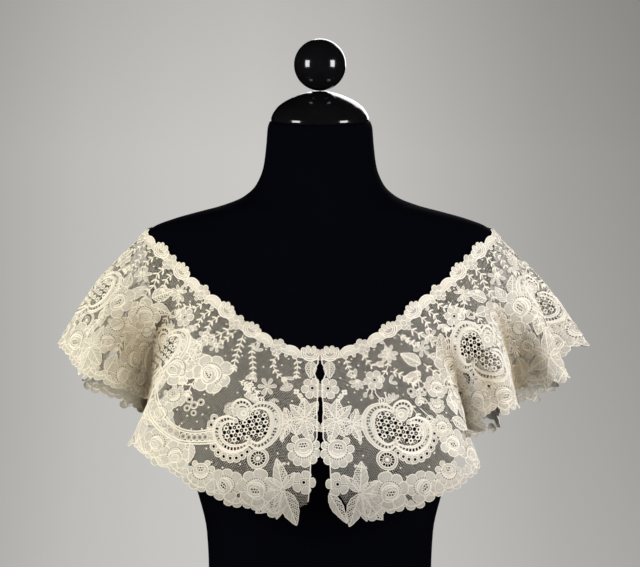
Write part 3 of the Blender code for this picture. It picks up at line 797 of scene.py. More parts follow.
# Each scroll of the medallion: (a, b, width) along its middle line.
NEAR_SCROLL = [
    (3, -23, 4.5), (-4, -29.5, 8), (-13.7, -30.5, 11), (-22, -24.5, 12.5), (-27, -14, 13), (-28, -3, 12.5),
    (-24, 7, 11), (-16.8, 12.4, 8), (-8.4, 10.8, 4.5)]
FAR_SCROLL = [
    (13.5, -4.6, 4), (22, -2.6, 7), (28.6, 5.4, 9.5), (27.4, 16, 10.5), (19.6, 23, 10), (8.6, 24, 9),
    (-1, 19.4, 7), (-8, 12.2, 4)]
SCROLL_STEPS = 44
UPPER_LOBE = (11.8, -17.8, 11.6)  # (a, b) and radius, as in the discs
CRESCENT_TURN = (195, 410)
FILLING_DISCS = [(-12, -9, 14), (-1, -4, 10.5), (11, 5, 10.5), (19, 11, 9)]
MEDALLION_SKIRT = [
    (-9, 21), (-5, 26), (-0.5, 30.5), (5.5, 33), (12.5, 34), (19.5, 33), (26, 29.5), (31.5, 25), (35, 18.5),
    (36.5, 11), (35.5, 3.5)]
MEDALLION_APRON = [(-7, 20), (-3.5, 22.8), (8.4, 27.2), (21, 26.2), (30.2, 17), (32.4, 8), (31.5, 1.5)]
RING_PITCH = 8.0
RING_SIZE = (2.9, 1.3)  # outer and inner radius
WHEEL_AT = (-21.8, 24.6)
WHEEL_SIZE = (10.8, 7.6)
SPOKES = 14


def inside_filling(a, b):
    """Within any of the filling's discs and clear of the upper lobe."""
    held = np.zeros(np.shape(a), bool)
    for x, y, radius in FILLING_DISCS:
        held = held | (np.hypot(a - x, b - y) < radius + 1.5)
    x, y, radius = UPPER_LOBE
    return held & (np.hypot(a - x, b - y) > radius - 0.5)


def ring_filling():
    """Rings at the corners of a three-way lattice, joined by bars, with a knot between each three."""
    outer, inner = RING_SIZE
    step = np.arange(-7, 8)
    i, j = (v.ravel() for v in np.meshgrid(step, step, indexing="ij"))
    spots = np.stack([(i + 0.5 * j) * RING_PITCH, j * RING_PITCH * 0.866], axis=1)
    reach = RING_PITCH / math.sqrt(3)
    knot = np.array([reach * math.cos(math.pi / 6), reach / 2])
    pieces = []
    for spot in spots[inside_filling(*spots.T)]:
        pieces.append(band(circle(outer, 9, spot), circle(inner, 9, spot), LOW, 0.8, "thread", 1.02))
        for turn in range(0, 360, 60):
            way = np.array(turned_place(1, 0, turn))
            if turn <= 120 or not inside_filling(*(spot + way * RING_PITCH)):
                ends = spot + way * [[outer - 0.3], [RING_PITCH - outer + 0.3]]
                pieces.append(thread(ends, LOW, 0.7, 0.6, cord=True))
        pieces.append(knob(circle(0.75, 6, spot + knot), tone=1.0, ring=0.5, edge=-0.4))
    return pieces


def scroll_band(line, lift):
    """A band of changing width along a curve, arched across, with a row of slots and five threads."""
    line = curve_through(line, SCROLL_STEPS)
    middle, width = line[:, :2], line[:, 2:]
    way = np.gradient(middle, axis=0)
    way /= np.linalg.norm(way, axis=1)[:, None]
    side = np.stack([-way[:, 1], way[:, 0]], axis=1) * width
    across = width * (FLAT_BOW[0] - 0.5)
    weave = np.stack([np.broadcast_to(travelled(middle)[:, None], across.shape), across], axis=-1)
    pieces = [strip(middle - side / 2, middle + side / 2, lift, 0.5, "slotted", bow=FLAT_BOW, weave=weave)]
    for at in (0.03, 0.14, 0.25, 0.75, 0.97):
        pieces.append(thread(middle + side * (at - 0.5), lift + 0.2, 1.0, 0.7, tone=1.08))
    for end in (0, -1):
        pieces += outlined(circle(width[end, 0] * 0.62, 12, middle[end]), lift + 0.15, 0.5, tone=1.02)
    return pieces


def wheel():
    """An open wheel: a broad rim with two threads, spokes, a middle ring and a hub."""
    out, into = WHEEL_SIZE
    pieces = [band(circle(out, 28), circle(into, 28), LOW, 0.5),
              thread(circle(out - 0.4, 28), LOW + 0.1, 1.1, 0.7, closed=True, tone=1.06),
              thread(circle(into + 0.4, 28), LOW + 0.2, 1.1, 0.6, closed=True, tone=1.06)]
    for k in range(SPOKES):
        way = np.array(turned_place(1, 0, 360 * k / SPOKES))
        pieces.append(thread(way * [[1.4], [4.6], [into + 0.2]], LOW, 0.55, 0.5, cord=True))
    pieces.append(thread(circle(4.3, 20), LOW, 0.7, 0.6, closed=True, cord=True))
    pieces.append(patch(circle(2.1, 10), LOW, 0.6, "thread", tone=1.02))
    return pieces


def medallion():
    """Two scrolls of close work turned about each other and a round lobe, filled with rings and bars,
    with a skirt of eyelets under them and an open wheel at the front foot."""
    skirt, apron = curve_through(MEDALLION_SKIRT, 30), curve_through(MEDALLION_APRON, 30)
    pieces = [strip(skirt + (apron - skirt) * 0.36, apron, LOW - 0.1, 0.3)]
    for at in MEDALLION_SKIRT:
        pieces.append(band(circle(4.5, 12, at), circle(1.6, 12, at), LOW, 0.4))
        pieces.append(thread(circle(4.3, 12, at), LOW + 0.1, 0.9, 0.6, closed=True, tone=1.05))
        pieces.append(thread(circle(2.0, 8, at), LOW + 0.2, 0.7, 0.5, closed=True, tone=1.05))
    pieces += scroll_band(NEAR_SCROLL, MIDDLE)
    pieces += scroll_band(FAR_SCROLL, MIDDLE + 0.15)
    x, y, radius = UPPER_LOBE
    width = 3.4 + 4.2 * np.sin(np.linspace(0.1, math.pi - 0.1, 9))
    crescent = np.column_stack([arc(*CRESCENT_TURN, 9, radius * 0.72, radius * 0.72, (x, y)), width])
    pieces += scroll_band(crescent, MIDDLE + 0.1)
    pieces += outlined(circle(radius * 0.56, 18, (x - 2.4, y + 3.4)), MIDDLE + 0.3, 0.5, width=1.2, tone=1.16)
    pieces.append(thread(circle(2.7, 12, (x - 3.2, y + 2.6)), HIGH + 0.5, 1.4, 0.7, closed=True, tone=1.1))
    pieces += ring_filling()
    pieces += moved(wheel(), *WHEEL_AT)
    openings = [*FILLING_DISCS, (*WHEEL_AT, WHEEL_SIZE[1] + 0.8)] + [(*at, 2.2) for at in MEDALLION_SKIRT]
    for line, last in ((crescent, 39), (FAR_SCROLL, 36)):
        openings += [(a, b, 2.0) for a, b, _ in curve_through(line, SCROLL_STEPS)[5:last]]
    return Motif(pieces, 34, openings)


def hem_petal():
    """One scallop of the hem: a low petal along +b with a stout edge."""
    return Motif(petal(11.25, 10.62, LOW - 0.1, 2, 0.04, 0.99, veins=2, count=12), 9.0, [])


def shell():
    """A shell of the neck border: arcs one in another, open to the neck, under four finger lobes."""
    pieces = [patch(arc(-16, 196, 17, 10.6, 10.2, (0, -3.8)), MIDDLE - 0.1, 0.2, tone=0.60)]
    for radius, width in ((10.5, 1.6), (8.0, 1.4), (5.7, 1.2)):
        path = arc(-16, 196, 17, radius, radius * 0.96, (0, -3.8))
        pieces.append(thread(path, MIDDLE + 0.2, width, 0.9, tone=1.1))
    for k, (lean, length) in enumerate(((-58, 7.6), (-20, 9.6), (18, 9.2), (56, 7.4))):
        pieces += moved(outlined(petal_outline(length, 5.2, 11), MIDDLE + 0.3, 0.6, tone=0.9, width=1.2),
                        (k - 1.5) * 3.1, -2.6, 180 + lean * 0.8)
    return Motif(pieces, 10, [])


def spray():
    """Round lobes heaped like berries."""
    pieces = []
    for k, (a, b, radius) in enumerate(((0.2, 1.2, 3.0), (-4.9, -3.4, 3.1), (4.9, -3.2, 3.1), (0, -6.4, 3.3),
                                        (-3.4, 4.6, 2.5), (3.6, 4.8, 2.5), (0.2, 8.2, 2.2))):
        pieces += outlined(circle(radius, 10, (a, b)), MIDDLE + 0.12 * (k % 3), 0.6, width=1.1, tone=0.78)
    return Motif(pieces, 7, [])


def scroll():
    """A comma: a broad smooth arch on the neck's side that narrows into a curl on the net's side."""
    thick = np.linspace(7.6, 2.6, 18)[:, None]
    way = arc(178, 372, 18, 1, 1)
    middle = way * np.linspace(7.4, 5.6, 18)[:, None] * [1.12, 0.8] + [0, 1.0]
    outer, inner = middle + way * thick / 2, middle - way * thick / 2
    pieces = [strip(outer, inner, MIDDLE - 0.2, 1.0)]
    pieces += [thread(line, MIDDLE, 1.2, 0.7, tone=1.06) for line in (outer, inner)]
    pieces += outlined(circle(2.6, 10, (4.6, 4.2)), MIDDLE + 0.2, 0.6, width=1.2, tone=0.9)
    pieces += outlined(circle(2.0, 9, (-4.8, 5.4)), MIDDLE + 0.2, 0.5, width=1.0, tone=0.9)
    return Motif(pieces, 8, [])


# Layout of the motifs on the flat cut. Turn is from +a towards +b; a leaf or sprig starts along +b.

FRONT_FAN = [(236, 22, 13, 1), (272, 21, 13, -1), (318, 20, 11, 1), (8, 15, 8, -1), (62, 18, 10, 1),
             (104, 22, 13, -1), (146, 20, 12, 1)]
SIDE_FAN = [(296, 15, 9, 1), (338, 17, 9, -1), (22, 16, 8, 1), (66, 19, 9, -1), (120, 12, 7, 1)]
CORNER_FAN = [(272, 31, 15, 1), (226, 22, 10, -1), (332, 19, 10, 1), (52, 36, 20, -1), (78, 29, 15, 1),
              (108, 38, 16, -1), (12, 16, 9, 1)]
LEFT_CORNER_FAN = [(283, 31, 14, 1), (236, 20, 10, -1), (330, 20, 10, 1), (44, 37, 19, -1), (80, 30, 13, 1),
                   (112, 41, 18, -1), (9, 20, 10, 1)]
WING_FAN = [(250, 24, 13, 1), (292, 20, 11, -1), (338, 20, 12, 1), (34, 24, 14, -1), (84, 33, 20, 1),
            (130, 27, 15, -1), (190, 18, 10, 1)]


def motif_book():
    """Every motif by name, made once."""
    return {
        "full rose": rose_full(), "cup rose": rose_cup(), "flower": flower(), "five petals": flower(5),
        "leaf": leaf(), "leaf, open left": leaf(-1), "front fan": leaf_fan(FRONT_FAN, 20),
        "side fan": leaf_fan(SIDE_FAN, 15), "corner fan": leaf_fan(CORNER_FAN, 26),
        "left corner fan": leaf_fan(LEFT_CORNER_FAN, 26), "wing fan": leaf_fan(WING_FAN, 24),
        "star": star_flower(), "sprig": sprig(), "trefoil": trefoil(), "five leaves": trefoil(8.5, 5, 40),
        "pair": trefoil(9.0, 2, 70), "bud": bud(), "floret": floret(), "ring floret": ring_floret(),
        "curl": curl(), "dot": dot(), "medallion": medallion(), "hem petal": hem_petal(), "shell": shell(),
        "spray": spray(), "scroll": scroll()}


# Each row: motif, along, down, size, turn, flip, bright.
FRONT = [
    ("leaf", 8.4, 21, 0.82, 4), ("flower", 6.2, 46, 1.12), ("floret", 18.5, 52, 1.2),
    ("floret", 15.2, 57, 1.1, 40), ("floret", 13.0, 62, 1.0, 10), ("front fan", 10.4, 86),
    ("side fan", 20.5, 91), ("cup rose", 10.2, 121, 1.04, 5, 1, 1.03), ("five petals", 9.6, 160, 1.2, 20),
    ("full rose", 37.0, 169, 1.02, 10), ("full rose", 55.0, 175, 0.88, -20), ("bud", 63.8, 183, 1.1, 10),
    ("cup rose", 71.5, 174, 0.86, 30, 1, 1.05), ("medallion", 49.3, 110.5), ("curl", 44.5, 72, 1.1),
    ("five leaves", 52, 76, 1.0, 170), ("dot", 24, 75, 1.2), ("sprig", 24, 116, 0.55, 190),
    ("sprig", 27, 142, 0.5, 120)]
RIGHT_FRONT = FRONT + [
    ("corner fan", 21.6, 167), ("five leaves", 30.5, 42, 1.1, 20), ("pair", 29.5, 36, 1.1, 160),
    ("flower", 43.9, 46, 1.06), ("bud", 54.1, 31, 0.65, -60), ("bud", 33.4, 60, 0.45, 20),
    ("bud", 37.6, 64, 0.45, -10), ("pair", 54.5, 55, 1.0, -90), ("five leaves", 65.0, 24, 1.3, 20),
    ("trefoil", 66.8, 24, 1.1, 180), ("leaf", 80.7, 43, 0.98, 150, 1, 1.04), ("star", 96, 42, 0.92, 10),
    ("sprig", 88, 12, 0.7, 10), ("leaf", 73, 63, 0.85, 100), ("star", 71, 84, 0.85, 0),
    ("ring floret", 67, 76, 1.1), ("ring floret", 77.5, 82, 1.0), ("ring floret", 68.5, 92, 0.9),
    ("full rose", 87.5, 86, 0.68, 60, 1, 1.08), ("cup rose", 80.5, 103, 0.52, 20, 1, 1.12),
    ("leaf", 66.5, 121, 0.95, 75, 1, 1.06), ("full rose", 77.0, 127, 0.6, 40, 1, 1.08),
    ("full rose", 80.5, 149, 0.8, 80, 1, 1.08), ("leaf", 94, 116, 0.95, 30, 1, 1.08),
    ("leaf, open left", 94, 140, 1.0, -20, 1, 1.08), ("full rose", 92, 172, 0.8, 60),
    ("bud", 83, 183, 0.8, 10)]
LEFT_FRONT = FRONT + [
    ("left corner fan", 21.6, 167), ("pair", 30, 37, 1.1, 60), ("leaf", 27, 49, 0.6, -60),
    ("star", 42.4, 54, 0.95), ("pair", 57.0, 46, 1.1, 10), ("trefoil", 35, 66, 0.8, 20),
    ("sprig", 66, 62, 0.9, 100), ("trefoil", 65.0, 20, 1.1, 180), ("star", 99.3, 40, 0.8),
    ("full rose", 88.5, 71, 1.1, -20, 1, 1.03), ("flower", 110.5, 90, 1.35, 10),
    ("sprig", 79.5, 92, 0.85, 200), ("ring floret", 86, 106, 1.1), ("ring floret", 90, 113, 1.2),
    ("ring floret", 95, 110, 1.1), ("ring floret", 94, 120, 1.0), ("ring floret", 100, 116, 1.2),
    ("ring floret", 104, 109, 1.0), ("ring floret", 88, 121, 0.9), ("cup rose", 62.5, 97, 0.5, 200, 1, 1.05),
    ("leaf", 124, 62, 0.95, 150), ("leaf", 112, 58, 0.9, 200), ("full rose", 90, 173, 0.8, 60),
    ("full rose", 103, 171, 0.8, 10), ("leaf", 82, 163, 0.9, 30), ("leaf", 95, 186, 0.8, 90),
    ("leaf", 112, 184, 0.9, 60), ("leaf", 97, 168, 0.7, 160)]
REPEAT = [
    ("star", 9, 41, 0.95, 20), ("leaf", 18, 61, 0.9, 200), ("leaf, open left", 2, 64, 0.8, 150),
    ("full rose", 14.5, 91, 1.0, 30), ("cup rose", 3.5, 116, 0.74, 60, 1, 1.04),
    ("leaf, open left", 20, 120, 1.0, 30), ("leaf", 26, 139, 0.9, -30), ("full rose", 6, 141, 0.7, 0),
    ("wing fan", 17.5, 160), ("bud", 28.5, 179, 0.9, 0), ("trefoil", 30, 43, 1.1, 20),
    ("flower", 43.9, 44, 1.06), ("pair", 53.5, 54, 1.0, -90), ("five leaves", 65.5, 26, 1.2, -10),
    ("trefoil", 66.3, 24, 1.1, 175), ("medallion", 47.5, 110), ("curl", 44.5, 70, 1.1),
    ("five leaves", 53, 75, 1.0, 170), ("full rose", 37.0, 169, 1.0, 10), ("full rose", 54.5, 173, 0.9, -20),
    ("bud", 63.5, 182, 1.0, 10), ("cup rose", 71.5, 172, 0.86, 30, 1, 1.04),
    ("leaf", 80.7, 43, 1.0, 150, 1, 1.03), ("leaf", 73, 63, 0.9, 100), ("full rose", 87.0, 84, 0.86),
    ("cup rose", 78.0, 104, 0.62, 20, 1, 1.04), ("leaf", 91, 108, 1.0, 60),
    ("full rose", 77.0, 127, 0.68, 40), ("full rose", 85.0, 150, 0.84, 80),
    ("leaf, open left", 92, 130, 0.9, -20), ("leaf", 74, 149, 0.7, 20), ("full rose", 92, 175, 0.8, 60),
    ("leaf", 101, 166, 0.9, 170)]
# Each row: the stem's path, its leaves' length (0 for a bare stem), and how far apart their pairs are.
FRONT_VINES = [
    ([(44.5, 72), (41.5, 62), (42.5, 53)], 0),
    ([(97, 10), (102, 24), (108, 40), (113, 58), (112, 76), (106, 96)], 6.2, 6.5),
    ([(88, 56), (92, 70), (98, 88), (98, 104)], 5.6, 6)]
RIGHT_VINES = FRONT_VINES + [
    ([(68, 98), (72, 112), (79, 128), (82, 140)], 0), ([(74, 90), (76, 106), (80, 128)], 0),
    ([(62, 84), (64, 100), (68, 118)], 4.5, 8), ([(24.9, 8), (25.6, 20), (27, 30), (29.5, 39)], 4.6, 4.6),
    ([(42, 9), (44, 20), (46.5, 28), (53, 31)], 4.8, 5), ([(67.2, 11), (65, 22), (59, 38), (50, 46)], 4.8, 7),
    ([(82, 52), (78, 64), (74.4, 76), (71, 90)], 5.0, 8), ([(59, 44), (65, 52), (71, 68)], 5.6, 4.6),
    ([(84, 10), (88, 20), (94, 32)], 5.0, 5), ([(38.5, 52), (35, 58), (33, 61)], 0),
    ([(40, 55), (38, 62)], 0)]
LEFT_VINES = FRONT_VINES + [
    ([(23.7, 8), (21, 18), (20.5, 30)], 4.6, 4.6), ([(40, 8), (44, 22), (39, 33), (31, 39)], 4.8, 4.8),
    ([(68, 11), (68, 20), (60, 38), (56, 52), (56, 64)], 4.8, 4.8),
    ([(83, 10), (80, 24), (78, 36), (75, 50)], 5.6, 5), ([(92, 12), (95, 26), (99, 38)], 5.0, 5),
    ([(60, 60), (56, 68), (50, 72)], 5.0, 4.6), ([(110, 58), (118, 64), (128, 66)], 0)]
REPEAT_VINES = [
    ([(12, 10), (15, 24), (11, 38)], 5.2, 5), ([(22, 10), (27, 24), (25, 38), (29, 50)], 5.2, 5),
    ([(27, 56), (25, 70), (20, 80)], 5.6, 5.4), ([(36, 10), (40, 24), (50, 32), (54, 44)], 5.2, 5),
    ([(38, 50), (34, 62), (33, 74)], 5.2, 5), ([(67, 12), (65, 24), (59, 38), (50, 46)], 5.0, 6),
    ([(60, 50), (63, 64), (62, 80), (66, 94)], 5.4, 5.4), ([(84, 9), (87, 22), (84, 36)], 5.2, 5),
    ([(95, 10), (99, 26), (95, 42), (97, 58), (95, 72)], 6.0, 5.6),
    ([(76, 76), (73, 92), (70, 108)], 5.2, 5.2),
    ([(100, 74), (97, 90), (99, 104), (97, 122), (99, 142)], 6.2, 6),
    ([(23, 104), (21, 118), (24, 132), (28, 148)], 6.0, 6),
    ([(66, 116), (69, 132), (68, 148), (66, 160)], 6.0, 6), ([(45, 150), (46, 158), (44, 166)], 5.0, 4.6)]
BORDER_ROW = [("shell", 20), ("scroll", 16), ("spray", 14), ("scroll", 16), ("shell", 20), ("spray", 14)]
BORDER_END = 8.6  # nearest that the middle of one comes to either end
# The strip under them: down, height above the net, and distance in from its edge.
BORDER_STRIP = [(-3.4, 0.5, 0), (-1.8, 0.95, 1.5), (5.0, 0.95, 1.5), (6.6, 0.5, 0)]
LOOP_INNER = [(124, 108), (120, 125), (111, 135), (98.4, 144), (84.5, 140), (69.7, 124)]
LOOP_OUTER = [(134, 110), (132, 132), (120, 150), (106, 158), (91.7, 159), (79, 150), (66.8, 138)]
SCALLOP_STEP = 3.6
LACE_PIECES = [("toile", "close_work_"), ("gauze", "open_work_"), ("heart", "rose_hearts_"),
               ("pinned", "pinhole_rings_"), ("slotted", "medallion_frames_"), ("thread", "outline_threads_")]
DOT_SPACING = (13.0, 10.5)


# Meshes


def add_mesh(name, points, quads, triangles, finish, vertex_values=None, maps=None):
    """A smooth mesh object from points in millimetres, with vertex values and maps by name."""
    mesh = bpy.data.meshes.new(name)
    faces = np.asarray(quads).tolist() + np.asarray(triangles).tolist()
    mesh.from_pydata(np.asarray(points, float) * MM, [], faces)
    mesh.shade_smooth()
    corner = np.zeros(len(mesh.loops), np.int32)
    mesh.loops.foreach_get("vertex_index", corner)
    for map_name, values in (maps or {}).items():
        layer = mesh.uv_layers.new(name=map_name)
        layer.data.foreach_set("uv", np.asarray(values, np.float32)[corner].ravel())
    for value_name, values in (vertex_values or {}).items():
        layer = mesh.attributes.new(value_name, "FLOAT", "POINT")
        layer.data.foreach_set("value", np.asarray(values, np.float32))
    mesh.materials.append(finish)
    made = bpy.data.objects.new(name, mesh)
    bpy.context.scene.collection.objects.link(made)
    return made


def facing_out(piece):
    """A piece's faces, turned over where most of their flat area would look towards the form."""
    a, b, c, d = (piece.points[piece.quads[:, k], :2] for k in range(4))
    area = (c - a)[:, 0] * (d - b)[:, 1] - (c - a)[:, 1] * (d - b)[:, 0]
    if area.sum() > 0.05 * np.abs(area).sum():
        return piece.quads[:, ::-1], piece.triangles[:, ::-1]
    return piece.quads, piece.triangles


class Work:
    """Motif pieces laid on one half of the cloth, kept by kind until each kind becomes one mesh."""

    def __init__(self, cloth, book):
        self.cloth, self.book = cloth, book
        self.laid, self.busy, self.openings = {}, [], []

    def keep(self, kind, points, faces, *values):
        """Keeps points with quads and triangles, and each point's tone, weave, inset and painted shade."""
        row = (points, *(self.cloth.faces(f) for f in faces), *values)
        self.laid.setdefault(kind, []).append(row)

    def lay(self, pieces, along, down, lift=0.0, bright=1.0):
        """Lays pieces drawn about the origin with their middle at (along, down)."""
        for piece in pieces:
            a, b, height = piece.points.T
            s, d = self.cloth.flat_place((along, down), a, b)
            points, painted_fold_shade = self.cloth.place(s, d, height + lift), self.cloth.read(self.cloth.painted_fold_shade, s, d)
            self.keep(piece.kind, points, facing_out(piece), piece.tone * bright, piece.weave, piece.inset,
                      painted_fold_shade)

    def stamp(self, place, shift=0.0):
        """Lays a motif from the book at its place in the layout."""
        motif, at = self.book[place.motif], (place.along + shift, place.down)
        pieces = moved(motif.pieces, turn=place.turn, size=place.size, flip=place.flip)
        self.lay(pieces, *at, bright=place.bright)
        self.busy.append((*at, motif.radius * place.size))
        for a, b, radius in motif.openings:
            a, b = turned_place(a * place.size * place.flip, b * place.size, place.turn)
            spot = self.cloth.flat_place(at, np.float64(a), np.float64(b))
            self.openings.append((*spot, radius * place.size))

    def free(self, along, down, room):
        """Whether a spot is clear of every motif."""
        wide = self.cloth.read(self.cloth.wide, np.float64(along), np.float64(down))
        return all(math.hypot((along - s) * wide, down - d) > radius + room for s, d, radius in self.busy)

    def mesh(self, kind, name, finish):
        """One mesh of all the pieces of a kind."""
        rows = self.laid[kind]
        starts = np.cumsum([0] + [len(r[0]) for r in rows[:-1]])
        quads, triangles = (np.concatenate([r[k] + s for r, s in zip(rows, starts)]) for k in (1, 2))
        points, tone, weave, inset, painted_fold_shade = (np.concatenate([r[k] for r in rows]) for k in (0, 3, 4, 5, 6))
        return add_mesh(name, points, quads, triangles, finish,
                        {"tone": tone, "inset": inset, "painted_fold_shade": painted_fold_shade}, {"weave": weave})


def hem_line(along):
    """How deep the flat cut goes at places along the neck edge: round or pointed lobes below a base."""
    widths, reach, pointed = np.array(FRONT_LOBES + HEM_LOBES * (REPEATS - 1), float).T
    starts = np.concatenate([[0], np.cumsum(widths)]) / widths.sum() * NECK_LENGTH
    number = np.clip(np.searchsorted(starts, along, side="right") - 1, 0, len(widths) - 1)
    offset = (along - starts[number]) / (starts[number + 1] - starts[number]) * 2 - 1
    offset = np.clip(offset, -1, 1)
    shape = np.where(pointed[number] > 0, (1 - np.abs(offset)) ** 0.8, np.sqrt(1 - offset**2))
    return DEPTH + HEM_BASE + reach[number] * shape


def corner_depth(side, along):
    """The hem's depth, less the folded corner at the right front."""
    deep = hem_line(along)
    return np.minimum(deep, DEPTH - CORNER_FOLD + along * CORNER_SLOPE) if side > 0 else deep


def front_edge(down):
    """How far the front edge stands from the front centre, on the flat cut, at depths down."""
    share = down / DEPTH
    return np.interp(share, *np.array(FRONT_EDGE).T) / (1 + (SPREAD - 1) * share)


def make_net(cloth, work, name, finish):
    """The net ground: a grid from the neck edge to just inside the hem, cut away behind open work."""
    along = np.linspace(0, NECK_LENGTH, NET_COLUMNS)[:, None]
    deep = corner_depth(cloth.side, along[:, 0])
    for _ in range(3):
        deep = np.convolve(np.pad(deep, 2, mode="edge"), np.ones(5) / 5, mode="valid")
    down = np.linspace(0, 1, NET_ROWS)[None] * (deep - NET_INSET)[:, None]
    fade = smooth_step(1 - along / (EDGE_BLEND * NECK_LENGTH))
    along = along + (front_edge(down) + np.clip(down / 30, 0, 1) * NET_INSET * 0.5) * fade
    quads = cloth.faces(grid_faces(NET_COLUMNS, NET_ROWS))
    s, d = (v.ravel()[quads].mean(axis=1) for v in (along, down))
    wide = cloth.read(cloth.wide, s, d)
    kept = np.ones(len(quads), bool)
    for a, b, radius in work.openings:
        kept &= np.hypot((s - a) * wide, d - b) > radius
    used, faces = np.unique(quads[kept], return_inverse=True)
    flat = np.stack([along * (1 + down / NET_WIDENS), down], axis=-1)
    points, flat, painted_fold_shade = (values.reshape(along.size, -1)[used] for values in (
        cloth.place(along, down, np.zeros_like(down)), flat, cloth.read(cloth.painted_fold_shade, along, down)))
    made = add_mesh(name, points, faces.reshape(-1, 4), NO_TRIANGLES, finish, {"painted_fold_shade": painted_fold_shade.ravel()},
                    {"flat": flat})
    solid = made.modifiers.new("thickness", "SOLIDIFY")
    solid.thickness, solid.offset, solid.use_rim = NET_THICKNESS * MM, 0, True
    return made


def make_half(side_name, side, hem_rows, places, vines, book, finishes):
    """One half of the collar: net, close work, open work, threads and neck border."""
    cloth = Cloth(side, hem_rows)
    work, border = Work(cloth, book), Work(cloth, book)
    for row in places:
        work.stamp(Place(*row))
    if side > 0:
        work.lay(moved(leaf_pieces(36, 12, 1, LOW + 0.2, 6, 5), turn=-37), 5.0, 171, bright=1.04)
    for row in vines:
        lay_vine(work, Vine(*row))
    for k in range(1, REPEATS):
        shift = k * NECK_LENGTH / REPEATS
        for number, row in enumerate(REPEAT):
            place = Place(*row)
            if place.along + shift < NECK_LENGTH - 8:
                flip = -1 if (k + number) % 2 and "rose" in place.motif else 1
                work.stamp(place._replace(turn=place.turn + (k * 3 + number) % 5 * 7, flip=flip), shift)
        for row in REPEAT_VINES:
            lay_vine(work, Vine(*row), shift)
    if side < 0:
        lay_loop(work)
    lay_hem(work)
    lay_edges(work)
    lay_dots(work)
    lay_border(border)
    net = make_net(cloth, work, "net_" + side_name, finishes["net"])
    lace = [net] + [work.mesh(kind, name + side_name, finishes[kind]) for kind, name in LACE_PIECES]
    shells = border.mesh("toile", "border_shells_" + side_name, finishes["border"])
    cords = border.mesh("thread", "border_threads_" + side_name, finishes["border thread"])
    for piece in [*lace, shells, cords]:
        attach(piece, "root")
    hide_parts("lace_" + side_name)
    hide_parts("neck_border_" + side_name)


def lay_loop(work):
    """A ribbon of open work on the left: double threads either side, ladders and loops between them,
    and small knobs on its inner side."""
    inner, outer = curve_through(LOOP_INNER, 61), curve_through(LOOP_OUTER, 61)
    ring, spot = work.book["ring floret"].pieces, work.book["dot"].pieces
    for line, other in ((inner, outer), (outer, inner)):
        for share in (0, 0.17):
            lay_line(work, *(line + (other - line) * share).T, 1.7, 1.2)
    for k in range(3, 60, 3):
        work.lay(ring, *(inner[k] + outer[k]) / 2, lift=0.1)
        for share in (0.28, 0.78):
            work.lay(spot, *inner[k] + (outer[k] - inner[k]) * share, lift=0.1)
    for k in range(8, 58, 7):
        work.lay(spot, *inner[k] + (inner[k] - outer[k]) * 0.16, lift=0.2)
    for at in (inner[::6] + outer[::6]) / 2:
        work.busy.append((*at, 9))


def lay_vine(work, vine, shift=0.0):
    """A stem along a smooth path with pairs of small leaves and a leaf at its end."""
    path = curve_through(vine.path, 12 * len(vine.path)) + [shift, 0]
    path = path[path[:, 0] < NECK_LENGTH - 3]
    if len(path) < 6:
        return
    cloth = work.cloth
    lay_line(work, *path.T, 1.0, 0.8)
    if not vine.leaf:
        return
    step = np.diff(path, axis=0)
    wide, deep, lean = (cloth.read(values, *path[1:].T) for values in (cloth.wide, cloth.deep, cloth.lean))
    a, b = step[:, 0] * wide + step[:, 1] * lean, step[:, 1] * deep
    turn = np.degrees(np.arctan2(b, a))
    way = np.concatenate([[0], np.cumsum(np.hypot(a, b))])
    for k, at in enumerate(np.arange(vine.every * 0.8, way[-1] - 1, vine.every * 1.25)):
        here = [np.interp(at, way, path[:, c]) for c in (0, 1)]
        size = vine.leaf * (1.18 - 0.2 * at / way[-1])
        for side in (-1, 1):
            work.lay(moved(slim_leaf(size, 2.0), turn=np.interp(at, way[1:], turn) - 90 + side * 48), *here)
        if k % 2:
            work.busy.append((*here, 4.5))
    for side in (-1, 0, 1):
        work.lay(moved(slim_leaf(vine.leaf * 1.15, 2.3), turn=turn[-1] - 90 + side * 40), *path[-1])


def lay_hem(work):
    """Scallops along the hem between its roses and leaves, each turned square to its line."""
    for along in np.arange(26.0, NECK_LENGTH - 2, SCALLOP_STEP):
        before, here, after = corner_depth(work.cloth.side, along + np.array([-1.2, 0, 1.2]))
        if work.free(along, here - 6, -4.5):
            turn = math.degrees(math.atan((after - before) / 4.8))
            work.stamp(Place("hem petal", along, here - 10.5, 0.92, turn))


def lay_edges(work):
    """A stout thread down the front edge, along the hem and down the back edge."""
    side = work.cloth.side
    down = np.linspace(2, DEPTH - (CORNER_FOLD if side > 0 else 8), 120)
    lay_line(work, front_edge(down) + 1.6, down, 1.2, 0.9)
    down = np.linspace(2, hem_line(np.array([NECK_LENGTH - 1]))[0] - 3, 90)
    lay_line(work, np.full_like(down, NECK_LENGTH - 0.8), down, 1.0, 0.8)
    along = np.linspace(17, NECK_LENGTH - 1, 900)
    lay_line(work, along, corner_depth(side, along) - NET_INSET - 0.5, 1.2, 0.8)


